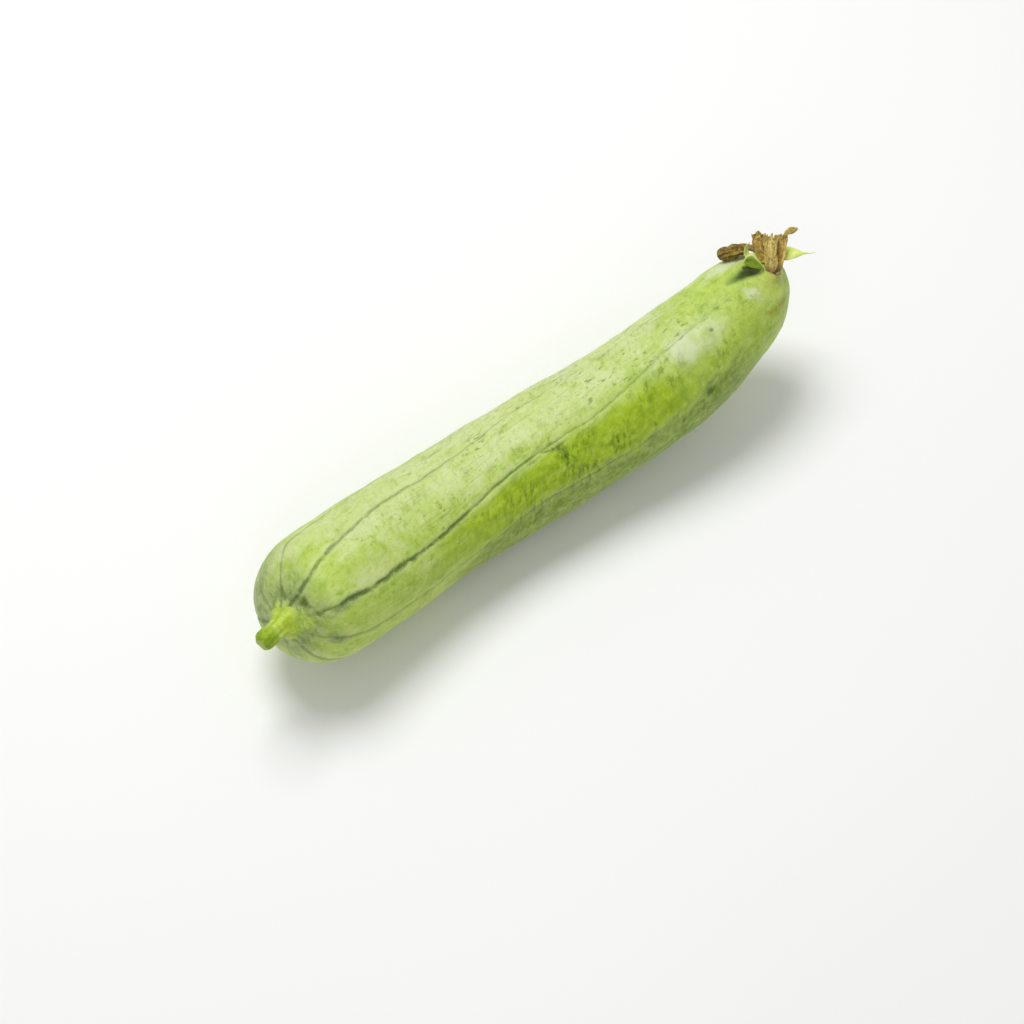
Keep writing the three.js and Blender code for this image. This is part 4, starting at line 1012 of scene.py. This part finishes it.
def blade_frame(points, side):
    f = catmull(points)
    side = np.asarray(side, float)

    def at(t):
        c, T = along_curve(f, t)
        S = unit(side - (T @ side)[..., None] * T)
        U = np.cross(T, S)
        return c, T, S, U

    return at


def build_sepal(name, points, side, width, cup, curl=0.0, crease=0.0, seed=0, nt=72, nx=33):
    # the foot of the sepal starts inside the calyx's wall
    pts = [np.asarray(p, float) for p in points]
    pts[0] = pts[0] + unit(pts[0] - pts[1]) * 0.6
    at = blade_frame(pts, side)
    w = table(width)

    def pos(t, x):
        c, T, S, U = at(t)
        ww = w(t) * (1 + 0.08 * perlin(np.stack([t * 5, x * 0 + np.sign(x) * 2, t * 0 + seed], -1), 61))
        fade = smooth(0, 0.18, t)
        p = np.stack([t * 5, x * 1.6, t * 0 + seed], -1)
        off = cup * (x**2 - 0.33) * np.minimum(1, ww) * 1.25 + crease * np.abs(x)
        off = off + 0.14 * np.exp(-((x / 0.14) ** 2)) * (1 - t)
        off = off + 0.36 * perlin(p, 63 + seed) * fade + curl * (x**3) * smooth(0.2, 0.9, t)
        return c + S * (ww * x)[..., None] + U * off[..., None]

    def thick(t, x):
        return (0.34 + 0.30 * (1 - t)) * (1 - 0.72 * np.abs(x) ** 2.5) * np.minimum(1, 0.25 + 6 * (1 - t))

    return sheet_solid(name, pos, nt, nx, thick, lambda t, x: 0.5 * np.cos(9 * x))


def build_leaf(name, upper, lower, bulge, seed=0, nt=72, nx=41, roll=0.0):
    """A leaf drawn between its two margins, given as flower coordinates. bulge lifts its middle."""
    fa, fb = catmull([spot3(*q) for q in upper]), catmull([spot3(*q) for q in lower])
    lift = unit(along(*bulge)) * np.linalg.norm(bulge)

    def pos(t, x):
        a, b = fa(t), fb(t)
        u = ((x + 1) / 2)[..., None]
        p = np.stack([t * 4.5, x * 1.3, t * 0 + seed], -1)
        full_ = np.sin(math.pi * np.clip(t, 0, 1)) ** 0.7
        k = (1 - x**2) * full_
        m = a + (b - a) * u + lift * k[..., None]
        m = m + lift * (0.30 * perlin(p, 64 + seed) * smooth(0, 0.15, t) - 0.16 * np.exp(-(((x + 0.05) / 0.12) ** 2)) * full_)[..., None]
        m = m - lift * (roll * np.clip(-x - 0.45, 0, 1) ** 1.5 * full_)[..., None]
        return m

    def thick(t, x):
        return (0.36 + 0.25 * (1 - t)) * (1 - 0.70 * np.abs(x) ** 3)

    return sheet_solid(name, pos, nt, nx, thick)


def build_petal(name, points, side, width, pleats, amp, curl=0.0, ragged=0.12, seed=0, nt=96, nx=71, roll=0.0, solid=0.28):
    pts = [np.asarray(p, float) for p in points]
    pts = [pts[0] - unit(pts[1] - pts[0]) * 1.2 - FLOWER_AXIS * 1.4] + pts
    at = blade_frame(pts, side)
    w = table(width)
    rng = np.random.RandomState(100 + seed)
    ph = rng.uniform(0, TAU, 4)

    def relief(t, x):
        k = np.stack([t * 2.6, x * 0.9, t * 0 + seed], -1)
        phase = ph[0] + 1.2 * np.sin(2.1 * t + ph[1]) + 2.6 * perlin(k, 71)
        a = np.cos(pleats * math.pi * x + phase)
        b = np.cos((pleats * 2.1 + 0.7) * math.pi * x + ph[2] + 2.5 * t + 2.2 * perlin(k * 1.9, 70))
        return 0.62 * a + 0.30 * b

    def pos(t, x):
        end = 1 - ragged * (0.45 + 1.6 * np.clip(perlin(np.stack([x * 2.6, x * 0 + seed * 1.7, x * 0], -1), 72) + 0.25, 0, 1) + 0.45 * np.abs(x) ** 2)
        tt = t * np.clip(end, 0.6, 1.0)
        c, T, S, U = at(tt)
        ww = w(tt)
        open_ = smooth(0.02, 0.40, tt)
        k = np.stack([tt * 4.5, x * 2.0, tt * 0 + seed], -1)
        crumple = 1.0 * perlin(k, 73 + seed) + 0.75 * perlin(k * 2.1, 74 + seed) + 0.35 * perlin(k * 4.3, 79 + seed)
        off = amp * (relief(tt, x) * (0.30 + 0.70 * open_) + 1.1 * crumple * open_)
        off = off + curl * smooth(0.55, 1.0, t) ** 2 + roll * (x**2 - 0.3) * open_
        side_shift = (0.9 * perlin(k + 5.0, 75 + seed) + 0.4 * perlin(k * 2.4 + 5.0, 77 + seed)) * amp * open_ + 0.16 * amp * np.sin(2 * pleats * math.pi * x)
        lift = (0.9 * perlin(k * 1.2 + 9.0, 76 + seed) + 0.5 * perlin(k * 3.0 + 9.0, 78 + seed)) * amp * open_
        return c + S * (ww * 0.96 * x + side_shift)[..., None] + U * off[..., None] + T * lift[..., None]

    def thick(t, x):
        return np.maximum(0.14, solid * (1.3 - 0.6 * t) * (1 - 0.4 * np.abs(x) ** 4))

    return sheet_solid(name, pos, nt, nx, thick, lambda t, x: relief(t, x))


def build_lobe(name, points, side, width, thick, seed=0):
    """The petal that has rolled up into a thick dark finger: rings along its line, deeply creased."""
    pts = [np.asarray(p, float) for p in points]
    pts[0] = pts[0] - unit(pts[1] - pts[0]) * 0.7
    at = blade_frame(pts, side)
    w, h = table(width), table(thick)
    nt, na = 140, 110
    t = 1 - (1 - np.linspace(0, 1, nt)) ** 1.25
    # rounded end
    cap = np.sqrt(np.clip(1 - np.clip((t - 0.80) / 0.20, 0, 1) ** 2.2, 0.0004, 1))
    c, T, S, U = at(t)
    a = np.linspace(0, TAU, na, endpoint=False)
    tt, aa = np.meshgrid(t, a, indexing="ij")
    p = np.stack([tt * 8, 1.5 * np.cos(aa), 1.5 * np.sin(aa)], -1)
    crease = 0.10 * np.cos(5 * aa + 2.4 * tt + 2.6 * perlin(p * 0.5, 81)) + 0.07 * np.cos(11 * aa + 3.0 * tt + 3.0 * perlin(p * 0.7, 82))
    lump = 0.34 * perlin(p, 83) + 0.24 * perlin(p * 2.1, 84) + 0.10 * perlin(p * 4.4, 85)
    fold = -0.26 * np.exp(-(((aa - 1.9 - 0.5 * np.sin(4 * tt)) / 0.28) ** 2))
    k = (1 + crease + lump + fold) * cap[:, None] * 1.03
    X = (w(t)[:, None] * np.cos(aa)) * k
    Y = (h(t)[:, None] * np.sin(aa)) * k
    V = c[:, None, :] + X[..., None] * S[:, None, :] + Y[..., None] * U[:, None, :]
    verts = np.vstack([V.reshape(-1, 3), c[0], V[-1].mean(0)])
    idx = np.arange(nt * na).reshape(nt, na)
    nxt = np.roll(idx, -1, 1)
    quads = np.stack([idx[:-1], nxt[:-1], nxt[1:], idx[1:]], -1).reshape(-1, 4)
    t0 = np.stack([np.full(na, nt * na), nxt[0], idx[0]], -1)
    t1 = np.stack([np.full(na, nt * na + 1), idx[-1], nxt[-1]], -1)
    ob = mesh_object(name, verts, quads.tolist() + t0.tolist() + t1.tolist())
    # the relief goes to the material, which paints shade in the creases and highlight on the ridges by it
    v = np.stack([tt, np.cos(aa), (crease + lump + fold) * 3], -1)
    set_vectors(ob.data, "blade", np.vstack([v.reshape(-1, 3), v[0].mean(0), v[-1].mean(0)]))
    return ob


def build_calyx():
    n = 40
    h = np.linspace(-1.2, CALYX_HEIGHT, n)
    c = calyx_base + h[:, None] * flower_normal
    r = table([(-1.2, 4.2), (0.0, 3.95), (0.5, 3.9), (1.3, 3.85), (2.0, 3.7), (2.4, 3.2)])(h)
    extra = [(2.6, 2.5), (2.2, 2.3), (1.0, 2.3)]
    c = np.vstack([c, [calyx_base + flower_normal * q for _, q in extra]])
    r = np.concatenate([r, [q for q, _ in extra]])
    full = lambda a: np.ones((len(r), 1)) * a

    def push(k, a):
        tt = np.linspace(0, 1, len(r))[:, None]
        p = np.stack([tt * 3 + 0 * a, 2 * np.cos(a) + 0 * tt, 2 * np.sin(a) + 0 * tt], -1)
        return (0.20 * np.cos(10 * a + 0.6) * bell(tt, 0.5, 0.4) + 0.35 * perlin(p * 1.1, 91) + 0.16 * perlin(p * 3, 92))

    def values(k, a, rr):
        # the third value, the rib relief, gives painted shade and highlight in the material
        return np.stack([0.16 + 0.55 * k, np.cos(a) * 0.9, np.cos(10 * a + 0.6) * 0.7], -1)

    return tube("calyx", c, E1, r, 80, push, "blade", values)


def build_style():
    pts = [spot3(0.2, 0.0, 0.2), spot3(2.2, -4.4, 4.0), spot3(3.3, -8.4, 7.6), spot3(2.6, -11.9, 11.2), spot3(-0.3, -14.9, 14.6)]
    f = catmull(pts)
    t = np.linspace(0, 1, 120)
    c = f(t)
    seg = np.concatenate([[0], np.cumsum(np.linalg.norm(np.diff(c, axis=0), axis=-1))])
    c = f(np.interp(np.linspace(0, seg[-1], 120), seg, t))
    r = table([(0, 0.75), (0.06, 0.58), (0.2, 0.5), (0.45, 0.46), (0.62, 0.48), (0.69, 0.7), (0.76, 1.15), (0.84, 1.42), (0.92, 1.3), (0.975, 0.9), (1.0, 0.3)])(t)

    def push(k, a):
        p = np.stack([k * 22 + 0 * a, 1.2 * np.cos(a) + 0 * k, 1.2 * np.sin(a) + 0 * k], -1)
        bump = 0.11 * perlin(p * 0.6, 95) + 0.05 * np.cos(4 * a + 6 * k)
        headk = smooth(0.68, 0.80, k) * (1 - smooth(0.95, 1.0, k))
        return bump * 0.8 + headk * (0.85 * perlin(p * 0.8, 96) + 0.35 * perlin(p * 1.9, 97) - 0.16 * np.abs(np.cos(1.5 * a + 0.5)))

    def values(k, a, rr):
        # the third value, the rib relief, gives painted shade and highlight in the material
        return np.stack([0.35 + 0.6 * k, np.cos(a), 0.5 * np.cos(4 * a + 6 * k)], -1)

    return tube("style", c, E1, r, 40, push, "blade", values)


# ---------------------------------------------------------------------------
# put the pieces together
# ---------------------------------------------------------------------------
FACE = along(-0.84, -0.27, 0.47)

skin = build_skin()
skin.data.materials.append(skin_material())
stem = build_stem()
stem.data.materials.append(stem_material())

PALE_SEPAL = sepal_material("sepal_pale", (230, 241, 142), (206, 225, 98), (236, 242, 168))
# the deep green sepal's margin gets a painted highlight
DEEP_SEPAL = sepal_material("sepal_green", (144, 172, 30), (102, 132, 6), (216, 226, 128), 1.0)
DRY_SEPAL = petal_material("sepal_dry", (150, 120, 66), (190, 164, 104), (218, 202, 150), 0.2)
BROWN = petal_material("petal_brown", (168, 134, 40), (218, 188, 84), (244, 228, 158))
LIGHT = petal_material("petal_light", (186, 156, 66), (228, 207, 114), (248, 238, 182))
DARK = petal_material("petal_dark", (98, 78, 14), (148, 122, 42), (200, 175, 98), 0.0, 0.75)
STYLE = petal_material("style_dry", (176, 144, 54), (218, 190, 92), (240, 220, 148), 0.2)
CALYX = petal_material("calyx_dry", (122, 88, 52), (164, 130, 84), (204, 182, 142), 0.3)

pieces = [
    (skin, "gourd_body", "skin"),
    (stem, "stem_stub", "stem"),
]


def keep(ob, node, slot, material):
    ob.data.materials.append(material)
    pieces.append((ob, node, slot))


keep(build_calyx(), "calyx_tube", "dried_flower", CALYX)
keep(build_leaf("curled_sepal",
                [(2.99, 3.48, -1.59), (6.64, 5.68, 0.98), (10.71, 6.81, 2.62), (12.12, 7.91, 0.34), (11.66, 7.96, -2.91)],
                [(2.85, 4.76, -2.6), (5.36, 6.53, -2.46), (8.01, 7.25, -3.28), (10.08, 7.24, -3.67), (11.33, 7.71, -3.29)],
                (0.6, 0.4, 1.0), seed=1, roll=0.6),
     "sepal_curled", "sepal", DEEP_SEPAL)
keep(build_sepal("upright_sepal",
                 [rim(6), spot3(9.2, 2.3, -2.2), spot3(12.2, 2.1, -1.7), spot3(13.8, 0.6, -0.1), spot3(14.1, -2.0, 2.4)],
                 across(-20), [(0, 1.4), (0.4, 2.4), (0.75, 1.9), (1, 0.3)], 0.4, seed=2),
     "sepal_upright", "sepal", PALE_SEPAL)
keep(build_sepal("far_sepal",
                 [rim(298), spot3(5.0, -6.9, 0.2), spot3(7.0, -9.8, 0.5), spot3(8.2, -12.4, 0.6)],
                 across(285), [(0, 1.3), (0.4, 2.3), (0.75, 1.4), (1, 0.2)], 0.5, seed=3),
     "sepal_far", "sepal", PALE_SEPAL)
keep(build_leaf("right_sepal",
                [(-1.01, -5.15, 0.48), (0.53, -8.15, 4.81), (-1.04, -9.55, 7.19), (-4.46, -9.81, 8.24), (-7.93, -9.74, 8.91), (-10.2, -10.9, 9.5), (-11.95, -11.04, 10.93)],
                [(-3.17, -3.53, 0.47), (-2.72, -4.5, 2.52), (-4.66, -5.39, 4.05), (-6.77, -7.15, 6.27), (-8.79, -9.17, 8.53), (-10.5, -10.7, 9.3), (-11.99, -11.02, 10.91)],
                (-0.4, 0.5, 0.6), seed=4),
     "sepal_right", "sepal", PALE_SEPAL)
keep(build_sepal("withered_sepal",
                 [rim(150, 2.0) - unit(out(150)) * 0.6, spot3(-3.7, 2.7, -0.6), spot3(-4.2, 3.0, -1.0)],
                 across(150), [(0, 1.2), (0.5, 1.1), (1, 0.4)], -0.4, seed=5, nt=40, nx=25),
     "sepal_withered", "dried_flower", DRY_SEPAL)
keep(build_lobe("rolled_petal",
                [spot3(2.6, -1.4, 1.3), spot3(8.0, -4.2, -0.1), spot3(12.6, -5.0, -0.9), spot3(15.5, -3.6, -3.0), spot3(18.1, -2.6, -5.8),
                 spot3(20.7, -2.1, -8.8), spot3(22.6, -1.3, -10.9)],
                across(-4), [(0, 0.9), (0.17, 1.3), (0.33, 1.9), (0.5, 2.8), (0.67, 3.4), (0.83, 3.5), (1, 3.2)],
                [(0, 0.6), (0.17, 0.8), (0.33, 1.3), (0.5, 2.2), (0.67, 2.8), (0.83, 2.8), (1, 2.6)]),
     "petal_lobe", "dried_flower", DARK)
keep(build_petal("left_petal",
                 [spot3(2.2, 0.6, 1.0), spot3(6.49, -0.12, 2.17), spot3(11.05, -1.87, 5.17), spot3(12.66, -2.59, 7.19), spot3(13.82, -2.5, 9.01)],
                 FACE, [(0, 1.5), (0.2, 2.2), (0.45, 3.0), (0.75, 3.3), (1, 2.8)], 1.5, 1.0, curl=0.4, seed=6, ragged=0.10),
     "petal_fan_left", "dried_flower", BROWN)
keep(build_petal("middle_petal",
                 [spot3(0.8, 2.8, 0.7), spot3(3.8, 1.6, 4.5), spot3(6.49, -0.66, 7.85), spot3(8.12, -2.32, 9.89), spot3(9.4, -3.75, 11.55)],
                 FACE, [(0, 2.0), (0.25, 2.8), (0.6, 3.0), (0.8, 3.1), (1, 2.5)], 1.5, 0.95, curl=-0.3, seed=7, ragged=0.15),
     "petal_fan_mid", "dried_flower", LIGHT)
keep(build_petal("right_petal",
                 [spot3(-1.8, -0.3, 1.1), spot3(0.29, -1.82, 4.49), spot3(2.37, -3.76, 8.39), spot3(3.9, -4.78, 10.92), spot3(5.04, -4.76, 12.87)],
                 FACE, [(0, 1.5), (0.2, 2.0), (0.45, 2.6), (0.75, 2.9), (1, 2.4)], 1.4, 0.9, curl=0.4, seed=8, ragged=0.10),
     "petal_fan_right", "dried_flower", BROWN)
keep(build_petal("back_petal",
                 [spot3(-0.2, -2.6, 1.7), spot3(3.0, -6.6, 3.2), spot3(5.4, -9.8, 5.2), spot3(7.9, -12.8, 7.8)],
                 FACE, [(0, 0.9), (0.35, 1.8), (0.75, 3.0), (1, 2.6)], 2.0, 0.65, curl=0.3, seed=9, ragged=0.16),
     "petal_back", "dried_flower", BROWN)
keep(build_style(), "dried_style", "dried_flower", STYLE)

for ob, node, slot in pieces:
    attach(ob, "root")
    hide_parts(node)

# ---------------------------------------------------------------------------
# floor, light, camera
# ---------------------------------------------------------------------------
bpy.ops.mesh.primitive_plane_add(size=6.0, location=(0, 0, -0.0002))
floor = bpy.context.object
floor.name = "floor"
ft = Tree("floor_white")
fp = ft.objects()
fc = ft.mix(ft.noise(ft.scale(fp, 3.0), 1.0, 2, 0.5), (0.90, 0.90, 0.89), (0.93, 0.93, 0.925))
floor.data.materials.append(ft.finish(fc, 0.7, None, specular=0.2))

scene = bpy.context.scene
world = bpy.data.worlds.new("studio")
scene.world = world
world.use_nodes = True
bg = world.node_tree.nodes["Background"]
bg.inputs[0].default_value = (1.0, 1.0, 1.0, 1)
bg.inputs[1].default_value = 0.46


def area(name, where, size, power, target=(0, 0, 0.03)):
    l = bpy.data.lights.new(name, "AREA")
    l.shape = "DISK"
    l.size = size
    l.energy = power
    o = bpy.data.objects.new(name, l)
    scene.collection.objects.link(o)
    o.location = where
    o.rotation_euler = (Vector(target) - Vector(where)).to_track_quat("-Z", "Y").to_euler()
    return o


area("key", (0.10, 0.55, 1.32), 0.7, 13.0)
area("fill", (-0.8, -0.7, 0.9), 1.2, 2.0)

cam = bpy.data.cameras.new("camera")
cam.lens = 90.105
cam.sensor_width = 36.0
cam.sensor_fit = "HORIZONTAL"
cam.clip_start = 0.05
cam.clip_end = 20
camera = bpy.data.objects.new("camera", cam)
scene.collection.objects.link(camera)
RIGHT, UPV, BACK = (0.78201, -0.62327, 0.0), (0.55031, 0.69047, 0.46947), (-0.29261, -0.36713, 0.88295)
m = Matrix((RIGHT, UPV, BACK)).transposed().to_4x4()
m.translation = Vector(((-341.77 - CENTRE[0]) * MM, (-417.25 - CENTRE[1]) * MM, 0.997942))
camera.matrix_world = m
scene.camera = camera
scene.view_settings.view_transform = "Standard"
scene.view_settings.look = "None"
